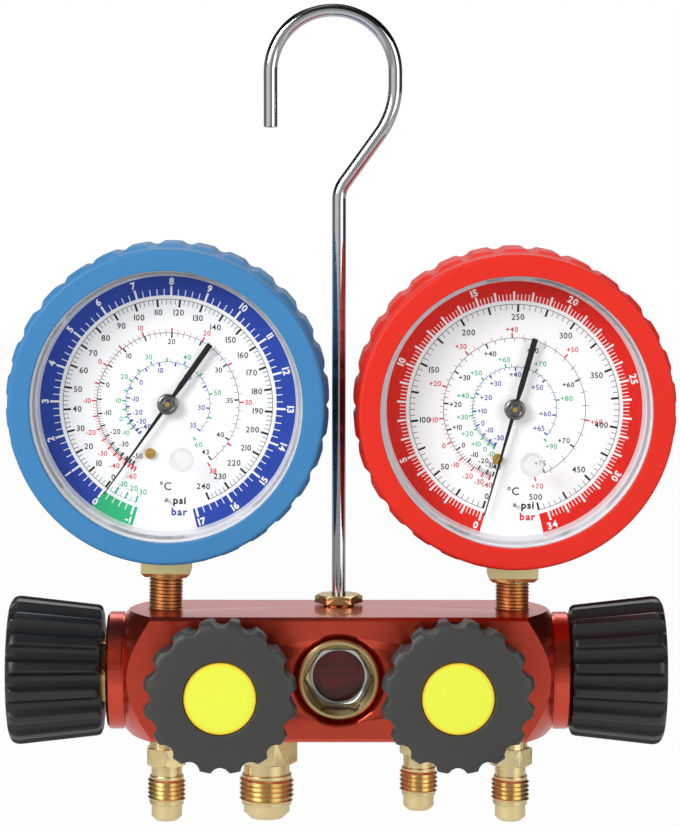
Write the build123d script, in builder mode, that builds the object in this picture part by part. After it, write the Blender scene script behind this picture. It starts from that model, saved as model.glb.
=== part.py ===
"""Refrigerant manifold gauge with four valves, two dial gauges, a sight glass and a hanging hook.

Millimetres, +Z up. The dials and the front valves face -Y. The origin is the hook's seat: the
highest point inside its loop, which the whole set hangs from. Each function makes one kind of
sub-part, and the loops at the end repeat it for each valve, gauge and port.
"""

import os
from dataclasses import dataclass
from math import acos, asin, cos, degrees, pi, radians, sin, sqrt, tan

from build123d import *

os.makedirs("parts", exist_ok=True)

# ---------------------------------------------------------------- fits
thread_gap = 0.05      # radial room of screwed and pushed-in pieces that stay put
run_gap = 0.05         # radial room of shafts and sliding pieces
face_gap = 0.05        # axial room between faces that turn on each other
clear_gap = 0.3        # room between pieces that pass each other

# ---------------------------------------------------------------- manifold block
block_drop = 188.6     # from the hook's seat down to the block's long axis
rod_back = 9.0         # the hook's rod stands this far behind the block's long axis
block_side = 36.0      # square bar
block_half = 61.5      # half the bar's length, without its end bosses
boss_r = 17.0
boss_length = 5.2
boss_chamfer = 0.8
groove_width = 0.7
groove_depth = 0.5
end_cone_angle = 45.0  # the bar's ends are turned down to the bosses at this angle
block_chamfer = 1.0
edge_break = 0.5
gallery_r = 2.5
gallery_reach = 10.0   # how far the front valves' outlets go behind the block's axis
drill_r = 1.8
nut_slope = 30.0       # how steeply the corners of hexagons are turned off
cut_over = 1.0         # how far a cutting tool runs past the face that it enters

# ---------------------------------------------------------------- hanging hook
rod_x = 1.8            # the rod stands this far beside the middle of the loop
rod_r = 2.0
loop_r = 18.0          # centre line of the loop
leg_drop = 15.85       # straight leg below the loop's middle, on the open side
shoulder_drop = 3.6    # straight stretch on the closed side
shoulder_r = 24.5
lean_angle = 35.9      # the slanted stretch, from the vertical
neck_bend_r = 8.0
foot_r = 3.3           # the collar that the nut holds down
foot_height = 2.0

nut_across = 12.1
nut_height = 2.4
nut_stand = 0.5        # the thread shows this much under the nut
nut_thread_r = 4.5
nut_thread_length = 6.0

# ---------------------------------------------------------------- sight glass
sight_mouth_r = 12.5
sight_mouth_depth = 3.0
sight_mouth_chamfer = 1.0
sight_flange_r = 11.5
sight_recess = 0.3
sight_thread_r = 10.0
sight_thread_length = 6.0
sight_socket_across = 17.0
sight_lip = 1.5
window_r = 7.5
glass_r = 8.5
glass_thickness = 4.0
sight_well_r = 6.5
sight_well_depth = 6.5

# ---------------------------------------------------------------- ports
quarter_thread_r = 5.556
quarter_nose_r = 4.45
quarter_bore_r = 2.4
quarter_stub_r = 4.9
quarter_hex_across = 11.0
wide_thread_r = 7.94
wide_nose_r = 6.7
wide_bore_r = 4.0
wide_stub_r = 6.5
wide_hex_across = 16.0
flare_angle = 45.0
tip_wall = 0.8         # flat left round the bore at a nose's tip
port_stub_depth = 8.0
thread_end_chamfer = 0.6

side_port_x = 50.0
side_port_stub = 4.7   # plain stub between the block and the hexagon
side_port_hex = 5.1
side_port_neck = 3.0
side_port_thread = 8.5
side_port_nose = 4.75
vacuum_port_x = -20.9
vacuum_port_hex = 9.1
vacuum_port_neck = 3.2
vacuum_port_thread = 8.9
vacuum_port_nose = 4.1
charging_port_x = 23.3
charging_port_hex = 6.2
charging_port_neck = 4.1
charging_port_thread = 8.1
charging_port_nose = 4.5
low_port_turn = 30.0   # how each hexagon stands when tight
vacuum_port_turn = 15.0
charging_port_turn = 30.0
high_port_turn = 8.0

# ---------------------------------------------------------------- valves
front_valve_x = 32.9
side_stand_off = 0.3   # from the boss's face to a closed side knob
front_stand_off = 3.4  # from the block's face to a closed front knob
low_valve_lift = 1.3   # the low side valve is left open by this much
screw_pitch = 1.0      # how far one turn lifts a valve
bonnet_across = 17.0
bonnet_hex_height = 3.0
bonnet_thread_r = 8.0
bonnet_thread_length = 9.0
bonnet_neck_r = 6.0
bonnet_neck_top = 12.0
gland_groove = 0.8
stem_r = 3.0
stem_square = 4.2
spigot_r = 2.0
spigot_length = 4.5
chamber_r = 5.0
plug_back = 12.0       # from the mouth to the back of a closed plug
piston_length = 3.0
needle_r = 3.0
needle_length = 6.2
needle_tip_r = 1.2

knob_length = 27.1
knob_r = 21.8          # at its widest, near the outer end
knob_inner_r = 18.8    # at the end by the block
knob_round = 5.0
knob_inner_round = 1.5
knob_face_r = 14.0
knob_crown = 0.6
flute_count = 16
flute_r = 2.8
flute_depth = 2.3
knob_recess_r = 11.6
knob_recess_depth = 12.6
knob_web = 9.0
screw_pocket_r = 4.5
disc_r = 10.15
disc_thickness = 1.3
disc_sink = 0.5

knob_screw_head_r = 3.5
knob_screw_head = 2.2
knob_screw_shank_r = 1.5
knob_screw_length = 8.0

# ---------------------------------------------------------------- gauges
low_gauge_x = -48.8
low_gauge_rise = 60.3  # from the block's top up to the middle of the dial
low_gauge_lean = 1.2   # clockwise from the front
high_gauge_x = 50.1
high_gauge_rise = 58.9
high_gauge_lean = -0.2

case_r = 40.0
case_wall = 1.1
case_step = 1.5        # width of the inner shoulder that the dial rests on
case_back = -10.0      # depths are from the stem's axis, forward is positive
case_front = 18.0
dial_back = 8.4
dial_thickness = 0.6
dial_hole_r = 1.5

bezel_wall = 2.25      # thickness at the dial
bezel_slope = 0.6      # how much the inner wall opens on its way to the lens
bezel_lip = 0.65       # thickness round the lens
bezel_front = 20.2
lens_back = 15.6
lens_thickness = 1.6

boot_wall = 6.0
boot_taper = 1.3       # how far the smooth front stands in from the scalloped side
boot_lip = 1.5         # how far the front lip reaches in over the case
boot_back_lip = 8.0
boot_front = 23.0
boot_back = -12.0
boot_front_round = 1.0
boot_shoulder = 12.0   # depth at which the scalloped side starts down to the smooth front
boot_back_round = 2.5
scallop_count = 30
scallop_r = 2.9
scallop_depth = 0.95

socket_side = 14.2
socket_neck = 12.0
socket_shoulder = 50.5  # from the dial's centre down to the foot of the square
socket_room = 1.0       # from the case's side down to the top of the square
socket_chamfer = 1.2
stub_r = 5.0
stub_depth = 8.0
stub_bore_r = 1.5
ledge_drop = 30.0
ledge_top_drop = 20.0

tube_r = 31.0          # centre line of the bent tube
tube_width = 8.0
tube_height = 3.0
tube_wall = 0.5
tube_mid = -3.5
tube_end = -4.0        # degrees, from the right, anticlockwise
tip_length = 4.0
lug_thickness = 0.8
lug_front = 3.2

gear_module = 0.25
sector_teeth = 120     # as if the sector were a whole wheel
pinion_teeth = 14
pressure_angle = 20.0
tooth_backlash = 0.07
tooth_addendum = 0.8   # in modules
tooth_dedendum = 1.2
sector_cut_teeth = 17
sector_spare_teeth = 3  # teeth on the low-pressure side of the mesh
pinion_undercut = 0.85
window_start = 4.0
window_inner_half = 12.0
window_margin = 6.0
window_crown = 0.6     # the window's outer edge bows out by this
rim_width = 1.0        # web left under the teeth
sector_side_angle = -60.0  # where the sector's pivot lies from the pointer's axis
plate_back = 0.0
plate_thickness = 0.8
plate_gap = 4.8
pillar_r = 1.4
pillar_places = ((9.0, 4.0), (-9.0, -17.5), (3.0, -25.5))
plate_outline = (
    (-3.5, 4.0), (6.5, 6.5), (11.5, 6.5), (13.0, -8.0), (13.0, -19.0), (5.5, -28.4),
    (-5.5, -28.4), (-11.5, -20.5), (-11.5, -15.0), (-4.5, -6.0),
)
sector_back = 2.2
sector_thickness = 1.0
sector_arbor_r = 1.2
sector_collar = 0.6
pivot_r = 0.5
pinion_back = 1.8
pinion_width = 2.0
arbor_r = 0.7
tail_x = 6.4
tail_y = -2.9
tail_pin_r = 0.5
link_thickness = 0.6
link_eye_r = 1.4
link_width = 1.4

pointer_back = 10.0
pointer_hub_r = 2.95
pointer_hub_height = 2.2
pointer_thickness = 0.4
pointer_tip_length = 31.6
pointer_tail_length = 21.0
pointer_tail_width = 2.2
pointer_neck_width = 1.3
pointer_neck = 1.2     # from the hub's rim to where the blade narrows
pointer_tip_width = 0.5
pointer_hub_chamfer = 0.5
low_pointer_rest = 35.4    # clockwise from straight down, with the gauge empty
high_pointer_rest = 15.7
stop_pin_drop = 27.5
stop_pin_r = 0.5
stop_pin_height = 2.2

zero_screw_x = -4.8
zero_screw_y = -14.3
zero_screw_r = 1.5
zero_screw_head = 0.9
zero_screw_shank_r = 0.8
zero_slot = 0.4
zero_slot_turn = 30.0
plug_x = 4.6
plug_y = -15.1
plug_r = 3.5
plug_head = 0.8
plug_shank_r = 2.5


@dataclass(frozen=True)
class FlareSize:
    """One size of flare connection: its thread, nose and bore."""

    thread_r: float
    nose_r: float
    bore_r: float
    stub_r: float
    hex_across: float


@dataclass(frozen=True)
class Port:
    """One hose connection under the block."""

    name: str
    x: float
    size: FlareSize
    stub_show: float
    hex_height: float
    neck: float
    thread: float
    nose: float
    hex_turn: float


quarter_flare = FlareSize(
    quarter_thread_r, quarter_nose_r, quarter_bore_r, quarter_stub_r, quarter_hex_across
)
wide_flare = FlareSize(wide_thread_r, wide_nose_r, wide_bore_r, wide_stub_r, wide_hex_across)
side_stack = (side_port_stub, side_port_hex, side_port_neck, side_port_thread, side_port_nose)
vacuum_stack = (0.0, vacuum_port_hex, vacuum_port_neck, vacuum_port_thread, vacuum_port_nose)
charging_stack = (
    0.0, charging_port_hex, charging_port_neck, charging_port_thread, charging_port_nose
)
ports = (
    Port("low_side_port", -side_port_x, quarter_flare, *side_stack, low_port_turn),
    Port("vacuum_port", vacuum_port_x, wide_flare, *vacuum_stack, vacuum_port_turn),
    Port("charging_port", charging_port_x, quarter_flare, *charging_stack, charging_port_turn),
    Port("high_side_port", side_port_x, quarter_flare, *side_stack, high_port_turn),
)

# ---------------------------------------------------------------- worked-out places
block_top = -block_drop + block_side / 2
block_bottom = -block_drop - block_side / 2
mouth_reach = block_half + boss_length
bar_corner_r = block_side / sqrt(2)
plug_front = plug_back + piston_length + needle_length
# the needle's cone meets the gallery's edge when the valve is shut
chamber_depth = plug_front - (gallery_r - needle_tip_r) + 2 * face_gap
case_inner_r = case_r - case_wall
case_step_r = case_inner_r - case_step
dial_front = dial_back + dial_thickness
bezel_outer_r = case_inner_r - thread_gap
bezel_wall_r = bezel_outer_r - bezel_wall
bezel_mouth_r = bezel_outer_r - bezel_lip
boot_r = case_r + boot_wall
boot_front_r = boot_r - boot_taper
socket_top = case_r + socket_room
front_plate_back = plate_back + plate_thickness + plate_gap
front_plate_front = front_plate_back + plate_thickness
pivot_distance = gear_module * (sector_teeth + pinion_teeth) / 2
link_back = sector_back + sector_thickness + clear_gap
tail_pin_front = link_back + link_thickness + clear_gap

bar_frame = Plane(origin=(rod_x, -rod_back, -block_drop), x_dir=(0, 1, 0), z_dir=(1, 0, 0))
rod_seat = Plane(origin=(rod_x, 0, block_top), x_dir=(1, 0, 0), z_dir=(0, 0, 1))
sight_frame = Plane(
    origin=(rod_x, -rod_back - block_side / 2, -block_drop), x_dir=(1, 0, 0), z_dir=(0, -1, 0)
)


@dataclass(frozen=True)
class Valve:
    """One valve: the plane of its mouth, how far its knob stands off, and how far it is open."""

    name: str
    mouth: Plane
    stand_off: float
    lift: float


@dataclass(frozen=True)
class Gauge:
    """One dial gauge: the plane through its stem's axis that its dial is parallel to."""

    name: str
    face: Plane
    pointer_rest: float


def side_mouth(side):
    """The plane of a side valve's mouth, facing out; side is -1 for left and 1 for right."""
    return Plane(
        origin=(rod_x + side * mouth_reach, -rod_back, -block_drop),
        x_dir=(0, -side, 0),
        z_dir=(side, 0, 0),
    )


def front_mouth(side):
    """The plane of a front valve's mouth, facing the user."""
    return Plane(
        origin=(rod_x + side * front_valve_x, -rod_back - block_side / 2, -block_drop),
        x_dir=(1, 0, 0),
        z_dir=(0, -1, 0),
    )


def gauge_face(x, rise, lean):
    """The plane of a gauge, on its stem's axis, with its own up and right leaned clockwise."""
    return Plane(
        origin=(rod_x + x, -rod_back, block_top + rise),
        x_dir=(cos(radians(lean)), 0, -sin(radians(lean))),
        z_dir=(0, -1, 0),
    )


def half_section(plane):
    """The plane that a shape turned about another plane's normal is drawn on: x out, y along."""
    return Plane(origin=plane.origin, x_dir=plane.x_dir, z_dir=-plane.y_dir)


def turned(plane, outline):
    """A solid turned about a plane's normal from (radius, height) points."""
    with BuildPart() as solid:
        with BuildSketch(half_section(plane)):
            with BuildLine():
                Polyline(outline, close=True)
            make_face()
        revolve(axis=Axis(plane.origin, plane.z_dir))
    return solid.part


def post(plane, radius, start, end):
    """A round post or drill along a plane's normal, between two heights."""
    with BuildPart() as solid:
        with BuildSketch(plane.offset(start)):
            Circle(radius)
        extrude(amount=end - start)
    return solid.part


def hexagon(plane, across, start, end, turn=0.0):
    """A hexagonal prism along a plane's normal, chamfered like a nut at its outer end."""
    half = across / 2
    with BuildPart() as solid:
        with BuildSketch(plane.offset(start)):
            RegularPolygon(half, 6, major_radius=False, rotation=turn)
        extrude(amount=end - start)
        outside = [
            (0, start - across),
            (across, start - across),
            (across, end - half * tan(radians(nut_slope))),
            (half, end),
            (0, end),
        ]
        add(turned(plane, outside), mode=Mode.INTERSECT)
    return solid.part


valves = (
    Valve("low_valve", side_mouth(-1), side_stand_off, low_valve_lift),
    Valve("high_valve", side_mouth(1), side_stand_off, 0.0),
    Valve("vacuum_valve", front_mouth(-1), front_stand_off, 0.0),
    Valve("charging_valve", front_mouth(1), front_stand_off, 0.0),
)
gauges = (
    Gauge(
        "low",
        gauge_face(low_gauge_x, low_gauge_rise, low_gauge_lean),
        low_pointer_rest - low_gauge_lean,
    ),
    Gauge(
        "high",
        gauge_face(high_gauge_x, high_gauge_rise, high_gauge_lean),
        high_pointer_rest - high_gauge_lean,
    ),
)


def stem_seat(gauge):
    """The plane at the block's top where a gauge's stub enters, normal up along the stub."""
    origin = gauge.face.origin
    up = gauge.face.y_dir
    reach = (origin.Z - block_top) / up.Z
    return Plane(origin=origin - up * reach, x_dir=gauge.face.x_dir, z_dir=up)


def port_seat(port):
    """The plane under the block that a port is screwed into, normal down."""
    return Plane(
        origin=(rod_x + port.x, -rod_back, block_bottom), x_dir=(1, 0, 0), z_dir=(0, 0, -1)
    )


def export(solid, name):
    """Labels a finished piece and writes it."""
    solid.label = name
    export_step(solid, f"parts/{name}.step")


# ---------------------------------------------------------------- manifold block
with BuildPart() as manifold_block:
    with BuildSketch(bar_frame.offset(-mouth_reach)):
        Rectangle(block_side, block_side)
    extrude(amount=2 * mouth_reach)
    for side in (-1, 1):
        frame = Plane(bar_frame.origin, x_dir=(0, side, 0), z_dir=(side, 0, 0))
        cone_reach = block_half - (bar_corner_r - boss_r) / tan(radians(end_cone_angle))
        add(
            turned(
                frame,
                [
                    (0, -2 * mouth_reach),
                    (block_side, -2 * mouth_reach),
                    (block_side, cone_reach - (block_side - bar_corner_r)),
                    (boss_r, block_half),
                    (boss_r - groove_depth, block_half),
                    (boss_r - groove_depth, block_half + groove_width),
                    (boss_r, block_half + groove_width),
                    (boss_r, mouth_reach - boss_chamfer),
                    (boss_r - boss_chamfer, mouth_reach),
                    (0, mouth_reach),
                ],
            ),
            mode=Mode.INTERSECT,
        )
    long_edges = manifold_block.edges().filter_by(Axis.X).group_by(SortBy.LENGTH)[-1]
    chamfer(long_edges, block_chamfer)

    # the gallery that joins all four valves and the sight glass
    add(
        post(bar_frame, gallery_r, -mouth_reach + chamber_depth, mouth_reach - chamber_depth),
        mode=Mode.SUBTRACT,
    )
    for valve in valves:
        add(
            turned(
                valve.mouth,
                [
                    (0, 0),
                    (bonnet_thread_r + thread_gap, 0),
                    (bonnet_thread_r + thread_gap, -bonnet_thread_length - thread_gap),
                    (chamber_r, -bonnet_thread_length - thread_gap),
                    (chamber_r, -chamber_depth),
                    (0, -chamber_depth),
                ],
            ),
            mode=Mode.SUBTRACT,
        )
    for side in (-1, 1):
        outlet_end = block_side / 2 + gallery_reach + drill_r
        add(post(front_mouth(side), gallery_r, -outlet_end, -chamber_depth), mode=Mode.SUBTRACT)

    # the sight glass's stepped mouth
    glass_back = sight_mouth_depth + sight_thread_length + glass_thickness
    add(
        turned(
            sight_frame,
            [
                (0, 0),
                (sight_mouth_r + sight_mouth_chamfer, 0),
                (sight_mouth_r, -sight_mouth_chamfer),
                (sight_mouth_r, -sight_mouth_depth),
                (sight_thread_r + thread_gap, -sight_mouth_depth),
                (sight_thread_r + thread_gap, -sight_mouth_depth - sight_thread_length - face_gap),
                (glass_r + thread_gap, -sight_mouth_depth - sight_thread_length - face_gap),
                (glass_r + thread_gap, -glass_back - face_gap),
                (sight_well_r, -glass_back - face_gap),
                (sight_well_r, -glass_back - sight_well_depth),
                (0, -glass_back - sight_well_depth),
            ],
        ),
        mode=Mode.SUBTRACT,
    )

    # gauge stubs and their drillings down to the side valves' chambers
    for gauge in gauges:
        seat = stem_seat(gauge)
        add(
            post(seat, stub_r + thread_gap, -stub_depth - thread_gap, cut_over),
            mode=Mode.SUBTRACT,
        )
        add(post(seat, stub_bore_r, -block_side / 2, 0), mode=Mode.SUBTRACT)

    # port stubs, with drillings up to the side chambers and slanted ones to the front outlets
    for port in ports:
        seat = port_seat(port)
        add(
            post(seat, port.size.stub_r + thread_gap, -port_stub_depth - thread_gap, cut_over),
            mode=Mode.SUBTRACT,
        )
        side = 1 if port.x > 0 else -1
        if abs(port.x) > front_valve_x:
            add(post(seat, drill_r, -block_side / 2, 0), mode=Mode.SUBTRACT)
        else:
            start = seat.origin - seat.z_dir * port_stub_depth
            end = Vector(rod_x + side * front_valve_x, gallery_reach - rod_back, -block_drop)
            slant = Plane(origin=start, z_dir=end - start)
            add(post(slant, drill_r, -cut_over, (end - start).length), mode=Mode.SUBTRACT)

    # the hook nut's thread and the pocket that its collar turns in
    add(
        turned(
            rod_seat,
            [
                (0, 0),
                (nut_thread_r + thread_gap, 0),
                (nut_thread_r + thread_gap, -nut_thread_length - thread_gap),
                (foot_r + clear_gap, -nut_thread_length - thread_gap),
                (foot_r + clear_gap, -nut_thread_length - foot_height - 2 * clear_gap),
                (0, -nut_thread_length - foot_height - 2 * clear_gap),
            ],
        ),
        mode=Mode.SUBTRACT,
    )
export(manifold_block.part, "manifold_block")


# ---------------------------------------------------------------- hook and its nut
lean = radians(lean_angle)
loop_mid = rod_r - loop_r
shoulder_mid = loop_mid - shoulder_drop
slant_start = Vector(
    loop_r - shoulder_r * (1 - cos(lean)), 0, shoulder_mid - shoulder_r * sin(lean)
)
corner_z = slant_start.Z - (slant_start.X - rod_x) / tan(lean)
bend_tangent = neck_bend_r * tan(lean / 2)
bend_start = Vector(rod_x + bend_tangent * sin(lean), 0, corner_z + bend_tangent * cos(lean))
bend_end = Vector(rod_x, 0, corner_z - bend_tangent)
foot_top = block_top - nut_thread_length - clear_gap

with BuildPart() as hook:
    with BuildLine() as hook_line:
        Line((-loop_r, 0, loop_mid - leg_drop), (-loop_r, 0, loop_mid))
        ThreePointArc((-loop_r, 0, loop_mid), (0, 0, loop_mid + loop_r), (loop_r, 0, loop_mid))
        Line((loop_r, 0, loop_mid), (loop_r, 0, shoulder_mid))
        shoulder_half = Vector(
            loop_r - shoulder_r * (1 - cos(lean / 2)), 0, shoulder_mid - shoulder_r * sin(lean / 2)
        )
        ThreePointArc((loop_r, 0, shoulder_mid), shoulder_half, slant_start)
        Line(slant_start, bend_start)
        bend_half = Vector(
            rod_x + neck_bend_r * (1 - cos(lean / 2)),
            0,
            bend_end.Z + neck_bend_r * sin(lean / 2),
        )
        ThreePointArc(bend_start, bend_half, bend_end)
        Line(bend_end, (rod_x, 0, foot_top - foot_height))
    with BuildSketch(Plane(origin=(-loop_r, 0, loop_mid - leg_drop), z_dir=(0, 0, 1))):
        Circle(rod_r)
    sweep()
    add(post(Plane(origin=(rod_x, 0, foot_top)), foot_r, -foot_height, 0))
export(hook.part, "hook")

with BuildPart() as hook_nut:
    nut_top = nut_stand + nut_height
    add(hexagon(rod_seat, nut_across, nut_stand, nut_top))
    add(post(rod_seat, nut_thread_r, -nut_thread_length, nut_stand))
    add(post(rod_seat, rod_r + run_gap, -nut_thread_length, nut_top), mode=Mode.SUBTRACT)
export(hook_nut.part, "hook_nut")


# ---------------------------------------------------------------- sight glass
with BuildPart() as sight_glass_ring:
    ring_back = -sight_mouth_depth - sight_thread_length
    socket_corner_r = sight_socket_across / sqrt(3)
    bevel_end = -sight_recess - edge_break - (socket_corner_r - sight_socket_across / 2)
    add(
        turned(
            sight_frame,
            [
                (0, -sight_recess),
                (sight_flange_r - edge_break, -sight_recess),
                (sight_flange_r, -sight_recess - edge_break),
                (sight_flange_r, -sight_mouth_depth),
                (sight_thread_r, -sight_mouth_depth),
                (sight_thread_r, ring_back),
                (0, ring_back),
            ],
        )
    )
    add(
        hexagon(sight_frame, sight_socket_across, ring_back + sight_lip, 2 * sight_socket_across),
        mode=Mode.SUBTRACT,
    )
    add(post(sight_frame, window_r, ring_back, 0), mode=Mode.SUBTRACT)
    bevel = [
        (0, 0),
        (socket_corner_r + edge_break, 0),
        (socket_corner_r + edge_break, -sight_recess),
        (sight_socket_across / 2, bevel_end),
        (0, bevel_end),
    ]
    add(turned(sight_frame, bevel), mode=Mode.SUBTRACT)
export(sight_glass_ring.part, "sight_glass_ring")

with BuildPart() as sight_glass_window:
    add(post(sight_frame, glass_r, -glass_back, ring_back))
export(sight_glass_window.part, "sight_glass_window")


# ---------------------------------------------------------------- ports
def make_port(port):
    """A flare port: a stub into the block, a hexagon, a neck, the hose thread and its nose."""
    seat = port_seat(port)
    size = port.size
    hex_end = port.stub_show + port.hex_height
    neck_end = hex_end + port.neck
    thread_end = neck_end + port.thread
    tip = thread_end + port.nose
    tip_r = size.bore_r + tip_wall
    cone_start = tip - (size.nose_r - tip_r) * tan(radians(flare_angle))
    with BuildPart() as fitting:
        add(
            turned(
                seat,
                [
                    (size.bore_r, -port_stub_depth),
                    (size.stub_r, -port_stub_depth),
                    (size.stub_r, hex_end),
                    (size.nose_r, hex_end),
                    (size.nose_r, neck_end),
                    (size.thread_r - thread_end_chamfer, neck_end),
                    (size.thread_r, neck_end + thread_end_chamfer),
                    (size.thread_r, thread_end - thread_end_chamfer),
                    (size.thread_r - thread_end_chamfer, thread_end),
                    (size.nose_r, thread_end),
                    (size.nose_r, cone_start),
                    (tip_r, tip),
                    (size.bore_r, tip),
                ],
            )
        )
        add(hexagon(seat, size.hex_across, port.stub_show, hex_end, port.hex_turn))
        add(post(seat, size.bore_r, -port_stub_depth, tip), mode=Mode.SUBTRACT)
    export(fitting.part, port.name)


for port in ports:
    make_port(port)


# ---------------------------------------------------------------- valves
def make_bonnet(valve):
    """The brass bonnet that the stem runs in: thread, hexagon, and a neck with a gland groove."""
    with BuildPart() as bonnet:
        add(
            turned(
                valve.mouth,
                [
                    (0, -bonnet_thread_length),
                    (bonnet_thread_r, -bonnet_thread_length),
                    (bonnet_thread_r, 0),
                    (bonnet_neck_r, 0),
                    (bonnet_neck_r, bonnet_hex_height + gland_groove),
                    (bonnet_neck_r - gland_groove, bonnet_hex_height + gland_groove),
                    (bonnet_neck_r - gland_groove, bonnet_hex_height + 2 * gland_groove),
                    (bonnet_neck_r, bonnet_hex_height + 2 * gland_groove),
                    (bonnet_neck_r, bonnet_neck_top - edge_break),
                    (bonnet_neck_r - edge_break, bonnet_neck_top),
                    (0, bonnet_neck_top),
                ],
            )
        )
        add(hexagon(valve.mouth, bonnet_across, 0, bonnet_hex_height))
        add(
            post(valve.mouth, stem_r + run_gap, -bonnet_thread_length, bonnet_neck_top),
            mode=Mode.SUBTRACT,
        )
    return bonnet.part


def make_plug(valve):
    """The plug that doesn't turn: a piston in the chamber and a needle with a conical nose."""
    back = valve.lift - plug_back
    needle_start = back - piston_length
    tip = needle_start - needle_length
    nose = needle_r - needle_tip_r
    with BuildPart() as plug:
        add(
            turned(
                valve.mouth,
                [
                    (0, back),
                    (chamber_r - run_gap, back),
                    (chamber_r - run_gap, needle_start),
                    (needle_r, needle_start),
                    (needle_r, tip + nose),
                    (needle_tip_r, tip),
                    (0, tip),
                ],
            )
        )
        add(
            post(valve.mouth, spigot_r + run_gap, back - spigot_length - clear_gap, back),
            mode=Mode.SUBTRACT,
        )
    export(plug.part, f"{valve.name}_plug")


def make_stem(valve, knob_start):
    """The stem: a spigot in the plug, a round shaft, and a square end that drives the knob."""
    shoulder = valve.lift - plug_back + face_gap
    hub = knob_start + knob_recess_depth
    square_end = hub + knob_web - clear_gap
    with BuildPart() as stem:
        add(
            turned(
                valve.mouth,
                [
                    (0, shoulder - spigot_length),
                    (spigot_r, shoulder - spigot_length),
                    (spigot_r, shoulder),
                    (stem_r, shoulder),
                    (stem_r, hub),
                    (0, hub),
                ],
            )
        )
        with BuildSketch(valve.mouth.offset(hub)):
            Rectangle(stem_square, stem_square)
        extrude(amount=square_end - hub)
        add(
            post(
                valve.mouth,
                knob_screw_shank_r + thread_gap,
                square_end - knob_screw_length,
                square_end,
            ),
            mode=Mode.SUBTRACT,
        )
    export(stem.part, f"{valve.name}_stem")


def make_knob(valve, knob_start):
    """The moulded knob: tapered and fluted outside, hollow for the bonnet, with a disc's pocket."""
    base = valve.mouth.offset(knob_start)
    disc_pocket = knob_length - disc_thickness - disc_sink
    widest = knob_length - knob_round
    with BuildPart() as knob:
        with BuildSketch(half_section(base)):
            with BuildLine():
                Polyline(
                    (0, knob_length),
                    (0, 0),
                    (knob_inner_r - knob_inner_round, 0),
                )
                ThreePointArc(
                    (knob_inner_r - knob_inner_round, 0),
                    (
                        knob_inner_r - knob_inner_round * (1 - sin(radians(45))),
                        knob_inner_round * (1 - cos(radians(45))),
                    ),
                    (knob_inner_r, knob_inner_round),
                )
                Line((knob_inner_r, knob_inner_round), (knob_r, widest))
                ThreePointArc(
                    (knob_r, widest),
                    (
                        knob_r - knob_round * (1 - cos(radians(45))),
                        widest + (knob_round - knob_crown) * sin(radians(45)),
                    ),
                    (knob_r - knob_round, knob_length - knob_crown),
                )
                Polyline(
                    (knob_r - knob_round, knob_length - knob_crown),
                    (knob_face_r, knob_length),
                    (0, knob_length),
                )
            make_face()
        revolve(axis=Axis(base.origin, base.z_dir))
        with BuildSketch(base):
            with PolarLocations(knob_r + flute_r - flute_depth, flute_count):
                Circle(flute_r)
        extrude(amount=knob_length, mode=Mode.SUBTRACT)
        add(
            turned(
                base,
                [
                    (0, 0),
                    (knob_recess_r, 0),
                    (knob_recess_r, knob_recess_depth),
                    (0, knob_recess_depth),
                ],
            ),
            mode=Mode.SUBTRACT,
        )
        add(
            turned(
                base,
                [
                    (0, knob_recess_depth + knob_web),
                    (screw_pocket_r, knob_recess_depth + knob_web),
                    (screw_pocket_r, disc_pocket),
                    (disc_r + thread_gap, disc_pocket),
                    (disc_r + thread_gap, knob_length),
                    (0, knob_length),
                ],
            ),
            mode=Mode.SUBTRACT,
        )
        with BuildSketch(base):
            Rectangle(stem_square + 2 * thread_gap, stem_square + 2 * thread_gap)
        extrude(amount=knob_length, mode=Mode.SUBTRACT)
    export(knob.part, f"{valve.name}_knob")


def make_knob_disc(valve, knob_start):
    """The coloured disc pressed into the knob's face."""
    disc_back = knob_start + knob_length - disc_thickness - disc_sink
    with BuildPart() as disc:
        add(post(valve.mouth, disc_r, disc_back, disc_back + disc_thickness))
        rims = disc.edges().filter_by(GeomType.CIRCLE)
        chamfer(rims.sort_by(Axis(valve.mouth.origin, valve.mouth.z_dir))[-1], edge_break / 2)
    export(disc.part, f"{valve.name}_disc")


def make_knob_screw(valve, knob_start):
    """The screw under the disc that holds the knob on its stem."""
    seat = knob_start + knob_recess_depth + knob_web
    with BuildPart() as screw:
        add(post(valve.mouth, knob_screw_head_r, seat, seat + knob_screw_head))
        add(
            post(
                valve.mouth,
                knob_screw_shank_r,
                seat - knob_screw_length,
                seat,
            )
        )
        with BuildSketch(valve.mouth.offset(seat + knob_screw_head)):
            Rectangle(2 * knob_screw_head_r, knob_screw_head_r / 4)
        extrude(amount=-knob_screw_head / 2, mode=Mode.SUBTRACT)
    export(screw.part, f"{valve.name}_knob_screw")


for valve in valves:
    knob_start = valve.stand_off + valve.lift
    make_plug(valve)
    make_stem(valve, knob_start)
    make_knob(valve, knob_start)
    make_knob_disc(valve, knob_start)
    make_knob_screw(valve, knob_start)
export(Compound(children=[make_bonnet(valve) for valve in valves]), "valve_bonnets")


# ---------------------------------------------------------------- gauges
def local_point(plane, x, y, z=0.0):
    """A point given in a gauge's own right, up and forward."""
    return plane.origin + plane.x_dir * x + plane.y_dir * y + plane.z_dir * z


def at(plane, x, y):
    """A gauge's plane with its origin moved to the right and up."""
    return Plane(origin=local_point(plane, x, y), x_dir=plane.x_dir, z_dir=plane.z_dir)


def slot_block(plane, width, low, high, back, front):
    """A block across the middle of a gauge, from one height to another, back to front."""
    with BuildPart() as solid:
        with BuildSketch(at(plane, 0, (low + high) / 2).offset(back)):
            Rectangle(width, high - low)
        extrude(amount=front - back)
    return solid.part


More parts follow.
